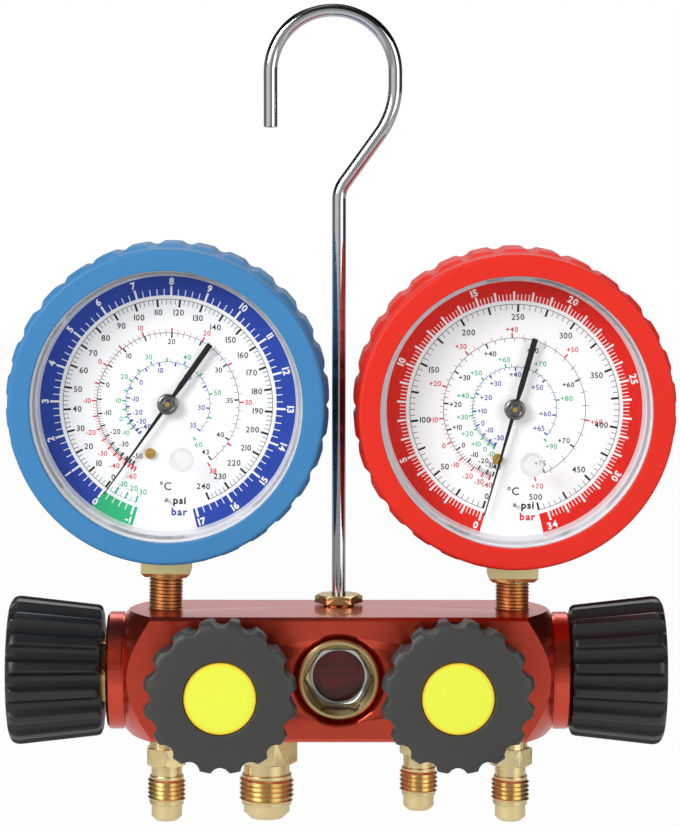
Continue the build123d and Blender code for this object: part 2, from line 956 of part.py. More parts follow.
def make_boot(gauge):
    """The rubber boot: a lipped ring over the case with scallops round its side."""
    face = gauge.face
    back_opening_r = case_r - boot_back_lip
    opening_r = case_r - boot_lip
    with BuildPart() as boot:
        with BuildSketch(half_section(face)):
            with BuildLine():
                Polyline(
                    (back_opening_r, boot_back),
                    (boot_r - boot_back_round, boot_back),
                    (boot_r, boot_back + boot_back_round),
                    (boot_r, boot_shoulder),
                    (boot_front_r, boot_shoulder + 2 * boot_taper),
                    (boot_front_r, boot_front - boot_front_round),
                    (boot_front_r - boot_front_round, boot_front),
                    (opening_r, boot_front),
                    (opening_r, bezel_front),
                    (case_r + thread_gap, bezel_front),
                    (case_r + thread_gap, case_back - thread_gap),
                    (back_opening_r, case_back - thread_gap),
                    close=True,
                )
            make_face()
        revolve(axis=Axis(face.origin, face.z_dir))
        with BuildSketch(face.offset(boot_back)):
            with PolarLocations(boot_r + scallop_r - scallop_depth, scallop_count):
                Circle(scallop_r)
        extrude(amount=boot_front - boot_back, mode=Mode.SUBTRACT)
        room = socket_side / 2 + clear_gap
        add(
            slot_block(face, 2 * room, -boot_r - cut_over, -case_inner_r, -room, room),
            mode=Mode.SUBTRACT,
        )
    export(boot.part, f"{gauge.name}_gauge_boot")


def make_case(gauge):
    """The pressed case: a cup with a shoulder for the dial and a slot for the socket."""
    face = gauge.face
    with BuildPart() as case:
        add(
            turned(
                face,
                [
                    (0, case_back),
                    (case_r, case_back),
                    (case_r, case_front),
                    (case_inner_r, case_front),
                    (case_inner_r, dial_back),
                    (case_step_r, dial_back),
                    (case_step_r, case_back + case_wall),
                    (0, case_back + case_wall),
                ],
            )
        )
        room = socket_neck / 2 + thread_gap
        add(
            slot_block(face, 2 * room, -case_r - cut_over, -case_r / 2, -room, room),
            mode=Mode.SUBTRACT,
        )
    export(case.part, f"{gauge.name}_gauge_case")


def make_bezel(gauge):
    """The ring over the dial: a slightly conical inner wall, a seat for the lens and a flange."""
    with BuildPart() as bezel:
        add(
            turned(
                gauge.face,
                [
                    (bezel_wall_r, dial_front),
                    (bezel_outer_r, dial_front),
                    (bezel_outer_r, case_front),
                    (case_r, case_front),
                    (case_r, bezel_front),
                    (bezel_mouth_r, bezel_front),
                    (bezel_mouth_r, lens_back),
                    (bezel_wall_r + bezel_slope, lens_back),
                ],
            )
        )
    export(bezel.part, f"{gauge.name}_gauge_bezel")


def make_lens(gauge):
    """The clear lens, with the hole that its plug closes."""
    with BuildPart() as lens:
        add(post(gauge.face, bezel_mouth_r - thread_gap, lens_back, lens_back + lens_thickness))
        hole = at(gauge.face, plug_x, plug_y)
        add(
            post(hole, plug_shank_r + thread_gap, lens_back, lens_back + lens_thickness),
            mode=Mode.SUBTRACT,
        )
    export(lens.part, f"{gauge.name}_gauge_lens")


def make_lens_plug(gauge):
    """The small plug in the lens, pulled out to reach the zero screw."""
    seat = lens_back + lens_thickness
    place = at(gauge.face, plug_x, plug_y)
    with BuildPart() as plug:
        add(post(place, plug_r, seat + face_gap, seat + plug_head))
        add(post(place, plug_shank_r, lens_back, seat + face_gap))
    export(plug.part, f"{gauge.name}_gauge_lens_plug")


def make_dial(gauge):
    """The dial plate, with holes for the pointer's arbor and the zero screw."""
    with BuildPart() as dial:
        add(post(gauge.face, case_inner_r - clear_gap, dial_back, dial_front))
        add(post(gauge.face, dial_hole_r, dial_back, dial_front), mode=Mode.SUBTRACT)
        hole = at(gauge.face, zero_screw_x, zero_screw_y)
        add(
            post(hole, zero_screw_shank_r + clear_gap, dial_back, dial_front), mode=Mode.SUBTRACT
        )
        stop = at(gauge.face, 0, -stop_pin_drop)
        add(post(stop, stop_pin_r, dial_back, dial_front + stop_pin_height))
    export(dial.part, f"{gauge.name}_gauge_dial")


def make_zero_screw(gauge):
    """The slotted brass screw that sets the pointer to zero."""
    place = at(gauge.face, zero_screw_x, zero_screw_y)
    seat = dial_front + face_gap
    with BuildPart() as screw:
        add(post(place, zero_screw_r, seat, seat + zero_screw_head))
        add(post(place, zero_screw_shank_r, front_plate_back, seat))
        with BuildSketch(place.offset(seat + zero_screw_head)):
            Rectangle(2 * zero_screw_r, zero_slot, rotation=zero_slot_turn)
        extrude(amount=-zero_screw_head / 2, mode=Mode.SUBTRACT)
    export(screw.part, f"{gauge.name}_gauge_zero_screw")


def make_socket(gauge):
    """The brass socket: stub, square, a neck into the case and the ledge under the movement."""
    face = gauge.face
    seat = stem_seat(gauge)
    stub_top = (face.origin - seat.origin).length - socket_shoulder
    half = socket_neck / 2
    with BuildPart() as socket:
        with BuildSketch(seat.offset(stub_top)):
            Rectangle(socket_side, socket_side)
        extrude(amount=socket_shoulder - socket_top)
        chamfer(socket.faces().sort_by(Axis(seat.origin, seat.z_dir))[0].edges(), socket_chamfer)
        add(post(seat, stub_r, -stub_depth, stub_top))
        add(slot_block(face, socket_neck, -socket_top, -ledge_drop, -half, half))
        add(slot_block(face, socket_neck, -ledge_drop, -ledge_top_drop, -half, plate_back))
        bore_top = stub_top + socket_shoulder - ledge_drop
        add(post(seat, stub_bore_r, -stub_depth, bore_top), mode=Mode.SUBTRACT)
    export(socket.part, f"{gauge.name}_gauge_socket")


def swung(plane, angle):
    """A gauge's plane turned about its own normal, anticlockwise from the front."""
    turn = radians(angle)
    return Plane(
        origin=plane.origin,
        x_dir=plane.x_dir * cos(turn) + plane.y_dir * sin(turn),
        z_dir=plane.z_dir,
    )


tube_start = 270 - degrees(asin((socket_neck / 2 + thread_gap) / (tube_r - tube_height / 2)))
tip_angle = tube_end - degrees(tip_length / 2 / tube_r)
lug_x = tube_r * cos(radians(tip_angle))
lug_y = tube_r * sin(radians(tip_angle))
sector_x = pivot_distance * cos(radians(sector_side_angle))
sector_y = pivot_distance * sin(radians(sector_side_angle))
mesh_angle = sector_side_angle + 180


def make_bourdon_tube(gauge):
    """The bent pressure tube, from the socket's side over the top to its closed tip and lug."""
    start = swung(gauge.face, tube_end)
    tip = swung(gauge.face, tip_angle)
    with BuildPart() as tube:
        with BuildSketch(half_section(start)):
            with Locations((tube_r, tube_mid)):
                SlotOverall(tube_width, tube_height, rotation=90)
        revolve(axis=Axis(start.origin, start.z_dir), revolution_arc=tube_start - tube_end)
        with BuildSketch(tip.offset(tube_mid - tube_width / 2)):
            with Locations((tube_r, 0)):
                Rectangle(tube_height + 2 * lug_thickness, tip_length)
        extrude(amount=lug_front - tube_mid + tube_width / 2)
        with BuildSketch(tip.offset(lug_front)):
            with Locations((tube_r, 0)):
                Circle(tail_pin_r + thread_gap)
        extrude(amount=-tube_width / 2, mode=Mode.SUBTRACT)
    export(tube.part, f"{gauge.name}_gauge_bourdon_tube")


def make_movement_frame(gauge):
    """The two plates and three pillars that carry the pinion and the sector."""
    face = gauge.face
    with BuildPart() as frame:
        with BuildSketch(face.offset(plate_back), face.offset(front_plate_back)):
            with BuildLine():
                Polyline(plate_outline, close=True)
            make_face()
        extrude(amount=plate_thickness)
        with BuildSketch(face.offset(plate_back)):
            with Locations(*pillar_places):
                Circle(pillar_r)
        extrude(amount=front_plate_front - plate_back)
        with BuildSketch(face.offset(plate_back)):
            Circle(pivot_r + run_gap)
            with Locations((sector_x, sector_y)):
                Circle(pivot_r + run_gap)
        extrude(amount=front_plate_front, mode=Mode.SUBTRACT)
        with BuildSketch(face.offset(front_plate_back)):
            Circle(arbor_r + run_gap)
            with Locations((zero_screw_x, zero_screw_y)):
                Circle(zero_screw_shank_r + run_gap)
        extrude(amount=plate_thickness, mode=Mode.SUBTRACT)
    export(frame.part, f"{gauge.name}_gauge_movement_frame")


def tooth(teeth, centre_angle, undercut):
    """One involute tooth's outline, from root to root, as (radius, angle in degrees) points."""
    pitch_r = gear_module * teeth / 2
    base_r = pitch_r * cos(radians(pressure_angle))
    tip_r = pitch_r + tooth_addendum * gear_module
    root_r = pitch_r - tooth_dedendum * gear_module
    half_at_pitch = pi / (2 * teeth) - tooth_backlash / (4 * pitch_r)

    def half_angle(radius):
        slope = acos(min(1.0, base_r / radius))
        pressure = radians(pressure_angle)
        return half_at_pitch + (tan(pressure) - pressure) - (tan(slope) - slope)

    root_half = half_angle(max(root_r, base_r)) * undercut
    flank = [
        (root_r, root_half),
        (pitch_r, half_at_pitch),
        (tip_r, half_angle(tip_r)),
    ]
    rising = [(radius, centre_angle - degrees(half)) for radius, half in flank]
    falling = [(radius, centre_angle + degrees(half)) for radius, half in reversed(flank)]
    return rising + falling


def flat_points(polar):
    """Plane points from (radius, angle in degrees) ones."""
    return [(r * cos(radians(a)), r * sin(radians(a))) for r, a in polar]


def make_pinion(gauge):
    """The pinion on the pointer's arbor."""
    face = gauge.face
    outline = []
    for count in range(pinion_teeth):
        centre = sector_side_angle + count * 360 / pinion_teeth
        outline += tooth(pinion_teeth, centre, pinion_undercut)
    with BuildPart() as pinion:
        with BuildSketch(face.offset(pinion_back)):
            with BuildLine():
                Polyline(flat_points(outline), close=True)
            make_face()
        extrude(amount=pinion_width)
        shoulder = plate_back + plate_thickness + face_gap
        add(
            turned(
                face,
                [
                    (0, plate_back),
                    (pivot_r, plate_back),
                    (pivot_r, shoulder),
                    (arbor_r, shoulder),
                    (arbor_r, pointer_back + pointer_hub_height),
                    (0, pointer_back + pointer_hub_height),
                ],
            )
        )
    export(pinion.part, f"{gauge.name}_gauge_pinion")


def make_sector(gauge):
    """The toothed sector on its arbor, with a window in its web and a tail for the link."""
    pivot = at(gauge.face, sector_x, sector_y)
    toothed = Plane(origin=pivot.origin, x_dir=swung(pivot, mesh_angle).x_dir, z_dir=pivot.z_dir)
    pitch = 360 / sector_teeth
    first = -(sector_cut_teeth - sector_spare_teeth) * pitch + pitch / 2
    outline = []
    for count in range(sector_cut_teeth):
        outline += tooth(sector_teeth, first + count * pitch, 1.0)
    rim_r = gear_module * (sector_teeth / 2 - tooth_dedendum) - rim_width
    low = outline[0][1]
    high = outline[-1][1]
    outline = [(sector_arbor_r, high), (sector_arbor_r, low)] + outline
    middle = (low + high) / 2
    outer_half = (high - low) / 2 - window_margin
    shoulder = plate_back + plate_thickness + face_gap
    top_shoulder = front_plate_back - face_gap
    tail_length = sqrt(tail_x**2 + tail_y**2)
    tail_angle = degrees(acos(tail_x / tail_length)) * (1 if tail_y > 0 else -1)
    tail = swung(pivot, tail_angle)
    with BuildPart() as sector:
        with BuildSketch(toothed.offset(sector_back)):
            with BuildLine():
                Polyline(flat_points(outline), close=True)
            make_face()
        extrude(amount=sector_thickness)
        with BuildSketch(toothed.offset(sector_back)):
            with BuildLine():
                window = [
                    (window_start, middle - window_inner_half),
                    (window_start, middle + window_inner_half),
                    (rim_r - window_crown, middle + outer_half),
                    (rim_r, middle),
                    (rim_r - window_crown, middle - outer_half),
                ]
                Polyline(flat_points(window), close=True)
            make_face()
        extrude(amount=sector_thickness, mode=Mode.SUBTRACT)
        with BuildSketch(tail.offset(sector_back)):
            with Locations((tail_length / 2, 0)):
                Rectangle(tail_length, link_width + 2 * clear_gap)
            with Locations((tail_length, 0)):
                Circle(link_eye_r)
        extrude(amount=sector_thickness)
        with BuildSketch(tail.offset(sector_back)):
            with Locations((tail_length, 0)):
                Circle(tail_pin_r)
        extrude(amount=tail_pin_front - sector_back)
        add(
            turned(
                pivot,
                [
                    (0, plate_back),
                    (pivot_r, plate_back),
                    (pivot_r, shoulder),
                    (sector_arbor_r + sector_collar, shoulder),
                    (sector_arbor_r + sector_collar, sector_back + sector_thickness),
                    (sector_arbor_r, sector_back + sector_thickness),
                    (sector_arbor_r, top_shoulder),
                    (pivot_r, top_shoulder),
                    (pivot_r, front_plate_front),
                    (0, front_plate_front),
                ],
            )
        )
    export(sector.part, f"{gauge.name}_gauge_sector")


def make_link(gauge):
    """The flat link from the sector's tail towards the tube's tip."""
    tail = local_point(gauge.face, sector_x + tail_x, sector_y + tail_y)
    lug = local_point(gauge.face, lug_x, lug_y)
    length = (lug - tail).length
    frame = Plane(origin=tail, x_dir=lug - tail, z_dir=gauge.face.z_dir)
    with BuildPart() as link:
        with BuildSketch(frame.offset(link_back)):
            with Locations((length / 2, 0)):
                Rectangle(length, link_width)
            with Locations((0, 0), (length, 0)):
                Circle(link_eye_r)
            with Locations((0, 0), (length, 0)):
                Circle(tail_pin_r + run_gap, mode=Mode.SUBTRACT)
        extrude(amount=link_thickness)
    export(link.part, f"{gauge.name}_gauge_link")


def make_pointer(gauge):
    """The pointer: a hub, a long thin end that reads the scales and a broad tail."""
    pointing = swung(gauge.face, -90 - gauge.pointer_rest)
    blade_back = pointer_back + (pointer_hub_height - pointer_thickness) / 2
    neck = pointer_hub_r + pointer_neck
    half_tail = pointer_tail_width / 2
    half_neck = pointer_neck_width / 2
    half_tip = pointer_tip_width / 2
    with BuildPart() as pointer:
        with BuildSketch(pointing.offset(blade_back)):
            with BuildLine():
                Polyline(
                    (-pointer_tail_length, -half_tail),
                    (-neck - pointer_tail_width, -half_tail),
                    (-neck, -half_neck),
                    (neck, -half_neck),
                    (pointer_tip_length, -half_tip),
                    (pointer_tip_length, half_tip),
                    (neck, half_neck),
                    (-neck, half_neck),
                    (-neck - pointer_tail_width, half_tail),
                    (-pointer_tail_length, half_tail),
                    close=True,
                )
            make_face()
        extrude(amount=pointer_thickness)
        add(post(pointing, pointer_hub_r, pointer_back, pointer_back + pointer_hub_height))
        rims = pointer.edges().filter_by(GeomType.CIRCLE).group_by(SortBy.RADIUS)[-1]
        chamfer(rims.sort_by(Axis(pointing.origin, pointing.z_dir))[-1], pointer_hub_chamfer)
        add(
            post(
                pointing, arbor_r + thread_gap, pointer_back, pointer_back + pointer_hub_height
            ),
            mode=Mode.SUBTRACT,
        )
    export(pointer.part, f"{gauge.name}_gauge_pointer")


for gauge in gauges:
    make_boot(gauge)
    make_case(gauge)
    make_bezel(gauge)
    make_lens(gauge)
    make_lens_plug(gauge)
    make_dial(gauge)
    make_zero_screw(gauge)
    make_socket(gauge)
    make_bourdon_tube(gauge)
    make_movement_frame(gauge)
    make_pinion(gauge)
    make_sector(gauge)
    make_link(gauge)
    make_pointer(gauge)
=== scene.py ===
"""Looks of a four-valve refrigerant manifold gauge: its metals, rubber, knobs and printed dials.

Sizes are in millimetres where they are written, and every mesh ends up in metres in the frame's
own place. Each sub-assembly is a class that builds its meshes, dresses them and sets them on
their bodies.
"""

import logging
from dataclasses import dataclass
from enum import Enum
from functools import partialmethod
from math import cos, exp, hypot, inf, pi, radians, sin, tan
from typing import Iterable

import bmesh
import bpy
from mathutils import Matrix, Vector


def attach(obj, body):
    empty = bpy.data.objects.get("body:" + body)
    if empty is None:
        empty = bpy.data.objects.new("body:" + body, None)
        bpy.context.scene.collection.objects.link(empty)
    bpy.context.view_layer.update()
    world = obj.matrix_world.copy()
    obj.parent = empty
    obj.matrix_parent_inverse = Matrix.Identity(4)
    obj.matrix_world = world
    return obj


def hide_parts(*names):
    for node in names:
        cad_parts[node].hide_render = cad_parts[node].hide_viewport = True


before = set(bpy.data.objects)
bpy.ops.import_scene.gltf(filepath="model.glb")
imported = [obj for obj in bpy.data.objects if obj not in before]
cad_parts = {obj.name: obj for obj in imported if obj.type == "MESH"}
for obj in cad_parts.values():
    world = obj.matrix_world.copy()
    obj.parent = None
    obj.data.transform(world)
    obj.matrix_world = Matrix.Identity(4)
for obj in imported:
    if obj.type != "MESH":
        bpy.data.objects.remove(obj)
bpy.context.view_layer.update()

MM = 0.001
log = logging.getLogger("manifold_gauge")

Colour = tuple[float, float, float, float]
Point = tuple[float, float, float]
Spot = tuple[float, float]
Face = tuple[int, ...]
Socket, Mesh, Material = bpy.types.NodeSocket, bpy.types.Mesh, bpy.types.Material


def paint(*channels: int) -> Colour:
    """A colour as it reads on a paint card, made linear for a shader.

    Args:
        channels: red, green and blue, from 0 to 255.

    Returns:
        The linear colour with full opacity.
    """
    parts = [value / 255 for value in channels]
    return (*(p / 12.92 if p <= 0.04045 else ((p + 0.055) / 1.055) ** 2.4 for p in parts), 1.0)


class Graph:
    """A node tree that is being wired, for a finish or for a geometry."""

    def __init__(self, tree: bpy.types.NodeTree) -> None:
        """Keep the tree that the nodes go into.

        Args:
            tree: the material's or the geometry's tree.
        """
        self.tree = tree

    def feed(self, node: bpy.types.Node, feeds: dict[str | int, object]) -> None:
        """Set a node's inputs.

        Args:
            node: the node.
            feeds: socket name or number to a value, or to a socket that feeds it.
        """
        for key, value in feeds.items():
            if isinstance(value, Socket):
                self.tree.links.new(value, node.inputs[key])
            else:
                node.inputs[key].default_value = value

    def put(self, kind: str, feeds: dict | None = None, **settings: object) -> bpy.types.Node:
        """Add one node, set it and feed its sockets.

        Args:
            kind: the node's type.
            feeds: what its inputs get.
            settings: the node's own properties.

        Returns:
            The new node.
        """
        node = self.tree.nodes.new(kind)
        for name, value in settings.items():
            setattr(node, name, value)
        self.feed(node, feeds or {})
        return node

    def get(
        self, kind: str, feeds: dict | None = None, outlet: str | int = 0, **settings: object
    ) -> Socket:
        """Add one node and take a result from it.

        Args:
            kind: the node's type.
            feeds: what its inputs get.
            outlet: which of its outputs is wanted.
            settings: the node's own properties.

        Returns:
            The output's socket.
        """
        return self.put(kind, feeds, **settings).outputs[outlet]

    def work(self, operation: str, *values: object) -> Socket:
        """Add a sum on numbers.

        Args:
            operation: the Math node's operation.
            values: its inputs in order, numbers or sockets.

        Returns:
            The result's socket.
        """
        return self.get("ShaderNodeMath", dict(enumerate(values)), operation=operation)

    plus = partialmethod(work, "ADD")
    minus = partialmethod(work, "SUBTRACT")
    times = partialmethod(work, "MULTIPLY")
    over = partialmethod(work, "DIVIDE")
    most = partialmethod(work, "MAXIMUM")
    least = partialmethod(work, "MINIMUM")

    def spread(
        self, factor: Socket, low: float, high: float, start: float = 0.0, end: float = 1.0
    ) -> Socket:
        """Stretch a pattern to run from one value to another.

        Args:
            factor: the pattern.
            low: the value at the pattern's start.
            high: the value at the pattern's end.
            start: where the pattern starts.
            end: where it ends.

        Returns:
            The stretched pattern's socket.
        """
        feeds = {"Value": factor, "From Min": start, "From Max": end, "To Min": low,
                 "To Max": high}
        return self.get("ShaderNodeMapRange", feeds, "Result")

    def blend(self, factor: Socket, first: Colour | Socket, second: Colour) -> Socket:
        """Mix two colours by a pattern.

        Args:
            factor: the pattern.
            first: the colour at 0.
            second: the colour at 1.

        Returns:
            The mixed colour's socket.
        """
        return self.get("ShaderNodeMix", {0: factor, 6: first, 7: second}, 2, data_type="RGBA")

    def noise(self, place: Socket, scale: float, detail: float) -> Socket:
        """Add a cloudy pattern.

        Args:
            place: the coordinates that it follows.
            scale: how fine it is.
            detail: how many finer layers it has.

        Returns:
            The pattern's socket, from 0 to 1.
        """
        feeds = {"Vector": place, "Scale": scale, "Detail": detail}
        return self.get("ShaderNodeTexNoise", feeds, "Fac")

    def bump(self, strength: float, depth: float, height: Socket) -> Socket:
        """Turn a pattern into a fine relief.

        Args:
            strength: how much of the relief shows.
            depth: how high it is, in millimetres.
            height: the pattern.

        Returns:
            The relief's socket.
        """
        feeds = {"Strength": strength, "Distance": depth * MM, "Height": height}
        return self.get("ShaderNodeBump", feeds)

    def either(self, share: Socket, first: Socket, second: Socket) -> Socket:
        """Mix two shaders.

        Args:
            share: how much of the second one shows.
            first: the shader at 0.
            second: the shader at 1.

        Returns:
            The mixed shader's socket.
        """
        return self.get("ShaderNodeMixShader", {0: share, 1: first, 2: second})


def cleared(owner: Material | bpy.types.World) -> Graph:
    """Empty the node tree of a material or a world.

    Args:
        owner: what the tree belongs to.

    Returns:
        The empty tree's graph.
    """
    owner.use_nodes = True
    owner.node_tree.nodes.clear()
    return Graph(owner.node_tree)


def blank(name: str) -> tuple[Material, Graph, bpy.types.Node, Socket]:
    """A new material that holds only its shader and its coordinates.

    Args:
        name: the finish's name.

    Returns:
        The material, its graph, its shader node and the object coordinates.
    """
    material = bpy.data.materials.new(name)
    graph = cleared(material)
    skin = graph.put("ShaderNodeBsdfPrincipled")
    graph.put("ShaderNodeOutputMaterial", {"Surface": skin.outputs["BSDF"]})
    return material, graph, skin, graph.get("ShaderNodeTexCoord", outlet="Object")


class Grain(Enum):
    """How a metal surface was worked."""

    POLISHED = "polished"
    BRUSHED = "brushed along a direction"
    TURNED = "turned on a lathe"


@dataclass(frozen=True)
class Metal:
    """A metal finish: its colour, how rough it is and the marks that working it left.

    The centre is in millimetres, the fineness is in marks a millimetre and the depth is the
    height of a mark in millimetres. A brushed mark is as many times longer than it is wide as
    the stroke says. Within the inner radius round the axis the inner colour shows.
    """

    name: str
    colour: Colour
    tarnish: Colour
    roughness: float
    grain: Grain = Grain.POLISHED
    axis: Point = (0.0, 0.0, 1.0)
    centre: Point = (0.0, 0.0, 0.0)
    fineness: float = 3.0
    depth: float = 0.01
    spread: float = 0.12
    coat: float = 0.0
    inner: Colour | None = None
    inner_r: float = 0.0
    stroke: float = 70.0

    def from_axis(self, graph: Graph, place: Socket) -> tuple[Socket, Socket]:
        """How far a point is along the turning axis and out from it.

        Args:
            graph: the material's graph.
            place: the object coordinates.

        Returns:
            The two distances' sockets.
        """
        kind = "ShaderNodeVectorMath"
        centre = tuple(value * MM for value in self.centre)
        arm = graph.get(kind, {0: place, 1: centre}, operation="SUBTRACT")
        along = graph.get(kind, {0: arm, 1: self.axis}, "Value", operation="DOT_PRODUCT")
        size = graph.get(kind, {0: arm}, "Value", operation="LENGTH")
        square = graph.minus(graph.times(size, size), graph.times(along, along))
        return along, graph.work("SQRT", graph.most(square, 0.0))

    def worked(self, graph: Graph, place: Socket) -> Socket:
        """The coordinates that the marks follow.

        Args:
            graph: the material's graph.
            place: the object coordinates.

        Returns:
            A vector socket in which the marks are even.
        """
        fine = self.fineness / MM
        if self.grain is Grain.TURNED:
            along, out = self.from_axis(graph, place)
            feeds = {0: graph.times(along, fine), 1: graph.times(out, fine)}
            return graph.get("ShaderNodeCombineXYZ", feeds)
        run = fine / self.stroke if self.grain is Grain.BRUSHED else fine
        scale = tuple(run if abs(part) > 0.5 else fine for part in self.axis)
        return graph.get("ShaderNodeMapping", {"Vector": place, "Scale": scale})

    def make(self) -> Material:
        """Build the material.

        Returns:
            The finished metal.
        """
        material, graph, skin, place = blank(self.name)
        marks = graph.noise(self.worked(graph, place), 1.0, 3.0)
        tone = graph.times(graph.times(marks, 1.6), graph.noise(place, 90.0, 3.0))
        tint = graph.blend(tone, self.colour, self.tarnish)
        # Inner colour near the axis; on the gauge stubs it is painted shade in the thread roots.
        if self.inner is not None:
            out = self.from_axis(graph, place)[1]
            tint = graph.blend(graph.work("LESS_THAN", out, self.inner_r * MM), tint, self.inner)
        half = self.spread / 2
        feeds = {
            "Base Color": tint,
            "Metallic": 1.0,
            "Coat Weight": self.coat,
            "Roughness": graph.spread(marks, max(0.02, self.roughness - half),
                                      self.roughness + half),
            "Normal": graph.bump(0.35, self.depth, marks),
        }
        graph.feed(skin, feeds)
        return material


@dataclass(frozen=True)
class Moulding:
    """A moulded or painted finish: rubber, plastic, lacquer or a printed sheet."""

    name: str
    colour: Colour
    shade: Colour
    roughness: float
    speckle: float = 2.0
    depth: float = 0.02
    gloss: float = 0.5

    def make(self) -> Material:
        """Build the material.

        Returns:
            The finished moulding.
        """
        material, graph, skin, place = blank(self.name)
        cloud = graph.noise(place, 45.0, 4.0)
        feeds = {
            "Base Color": graph.blend(cloud, self.colour, self.shade),
            "Specular IOR Level": self.gloss,
            "Roughness": graph.spread(cloud, self.roughness - 0.05, self.roughness + 0.05),
            "Normal": graph.bump(0.5, self.depth, graph.noise(place, self.speckle / MM, 2.0)),
        }
        graph.feed(skin, feeds)
        return material


@dataclass(frozen=True)
class Badge:
    """A glossy printed disc whose colour deepens towards its rim, which is painted shade on its
    rounded edge.
    """

    name: str
    colour: Colour
    rim: Colour
    centre: Point
    radius: float
    band: float = 1.1

    def make(self) -> Material:
        """Build the material.

        Returns:
            The finished disc print.
        """
        material, graph, skin, place = blank(self.name)
        arm = {0: place, 1: tuple(value * MM for value in self.centre)}
        out = graph.get("ShaderNodeVectorMath", arm, "Value", operation="DISTANCE")
        # Painted shade: the rim colour takes over across the outer band.
        edge = graph.spread(out, 0.0, 1.0, (self.radius - self.band) * MM, self.radius * MM)
        dots = graph.noise(place, 900.0, 2.0)
        feeds = {
            "Base Color": graph.blend(edge, self.colour, self.rim),
            "Specular IOR Level": 0.35,
            "Roughness": graph.spread(dots, 0.22, 0.32),
            "Normal": graph.bump(0.3, 0.004, dots),
        }
        graph.feed(skin, feeds)
        return material


@dataclass(frozen=True)
class Clear:
    """A see-through finish: the lenses, their plugs and the sight glass."""

    name: str
    colour: Colour
    opacity: float
    roughness: float
    transmission: float = 0.0

    def make(self) -> Material:
        """Build the material.

        Returns:
            The finished clear material.
        """
        material, graph, skin, place = blank(self.name)
        haze = graph.noise(place, 60.0, 3.0)
        feeds = {
            "Base Color": self.colour,
            "Alpha": self.opacity,
            "Transmission Weight": self.transmission,
            "Roughness": graph.spread(haze, self.roughness, self.roughness + 0.04),
        }
        graph.feed(skin, feeds)
        return material


@dataclass(frozen=True)
class Placing:
    """Where a piece sits: its origin in millimetres and its own right, up and out."""

    origin: Point
    right: Point
    up: Point

    @property
    def out(self) -> Vector:
        """The direction that the piece faces."""
        return Vector(self.right).cross(Vector(self.up))

    def matrix(self) -> Matrix:
        """The move from the piece's own millimetres to the frame's metres."""
        columns = [Vector(self.right), Vector(self.up), self.out]
        turn = Matrix([[column[row] for column in columns] for row in range(3)]).to_4x4()
        return Matrix.Translation(Vector(self.origin) * MM) @ turn @ Matrix.Scale(MM, 4)

    def shifted(self, up: float = 0.0, out: float = 0.0) -> "Placing":
        """The same placing, moved along its own directions.

        Args:
            up: how far up.
            out: how far outward.

        Returns:
            The moved placing.
        """
        move = Vector(self.up) * up + self.out * out
        return Placing(tuple(Vector(self.origin) + move), self.right, self.up)

    def set(self, mesh: Mesh) -> Mesh:
        """Move a mesh from its own millimetres to this place.

        Args:
            mesh: the mesh, which is moved itself.

        Returns:
            The moved mesh.
        """
        mesh.transform(self.matrix())
        return mesh


def rounded(corners: Iterable[Point], bends: int = 5) -> list[Spot]:
    """Turn the sharp corners of a closed profile into bends.

    Args:
        corners: radius, height and how far back from the corner its bend starts.
        bends: how many points a bend gets.

    Returns:
        The profile's points.
    """
    sharp = list(corners)
    points = []
    for index, (radius, height, cut) in enumerate(sharp):
        if cut == 0:
            points.append((radius, height))
            continue
        corner = Vector((radius, height))
        before = Vector(sharp[index - 1][:2]) - corner
        after = Vector(sharp[(index + 1) % len(sharp)][:2]) - corner
        start = corner + before.normalized() * min(cut, before.length * 0.49)
        end = corner + after.normalized() * min(cut, after.length * 0.49)
        for step in range(bends + 1):
            part = step / bends
            spot = start * (1 - part) ** 2 + corner * 2 * part * (1 - part) + end * part**2
            points.append((spot.x, spot.y))
    return points


def opened(*meshes: Mesh) -> bmesh.types.BMesh:
    """Put meshes into one shape that can be edited.

    Args:
        meshes: the meshes, in one set of coordinates.

    Returns:
        The shape.
    """
    shape = bmesh.new()
    for mesh in meshes:
        shape.from_mesh(mesh)
    return shape


def formed(shape: bmesh.types.BMesh, name: str, outward: bool = True) -> Mesh:
    """Turn a shape into a mesh.

    Args:
        shape: the shape, which is freed.
        name: the mesh's name.
        outward: whether its faces are first turned to point out.

    Returns:
        The mesh.
    """
    if outward:
        bmesh.ops.recalc_face_normals(shape, faces=shape.faces)
    mesh = bpy.data.meshes.new(name)
    shape.to_mesh(mesh)
    shape.free()
    return mesh


def lathe(profile: list[Spot], steps: int) -> Mesh:
    """Turn a profile about the Z axis.

    Args:
        profile: radius and height of each point; it closes on itself, or on the axis where
            its first and last radius are 0.
        steps: how many faces go round.

    Returns:
        A closed mesh whose faces point out.
    """
    shape = bmesh.new()
    rings = []
    for radius, height in profile:
        turns = [2 * pi * step / steps for step in range(steps if radius > 0 else 1)]
        rings.append([shape.verts.new((radius * cos(a), radius * sin(a), height)) for a in turns])
    pairs = list(zip(rings, rings[1:]))
    if profile[0][0] > 0:
        pairs.append((rings[-1], rings[0]))
    for low, high in pairs:
        for step in range(steps):
            round_face = ((low, step), (low, step + 1), (high, step + 1), (high, step))
            around = [ring[place % len(ring)] for ring, place in round_face]
            shape.faces.new(list(dict.fromkeys(around)))
    return formed(shape, "turned")


def carried(data: bpy.types.ID) -> bpy.types.Object:
    """Put a mesh or a curve on a passing object.

    Args:
        data: the mesh or the curve.

    Returns:
        The object, in the scene.
    """
    carrier = bpy.data.objects.new("carrier", data)
    bpy.context.scene.collection.objects.link(carrier)
    return carrier


def shown(carrier: bpy.types.Object) -> Mesh:
    """Keep what a passing object shows, and remove the object.

    Args:
        carrier: the object.

    Returns:
        The plain mesh.
    """
    graph = bpy.context.evaluated_depsgraph_get()
    mesh = bpy.data.meshes.new_from_object(
        carrier.evaluated_get(graph), preserve_all_data_layers=True, depsgraph=graph
    )
    carrier.modifiers.clear()
    bpy.data.objects.remove(carrier)
    return mesh


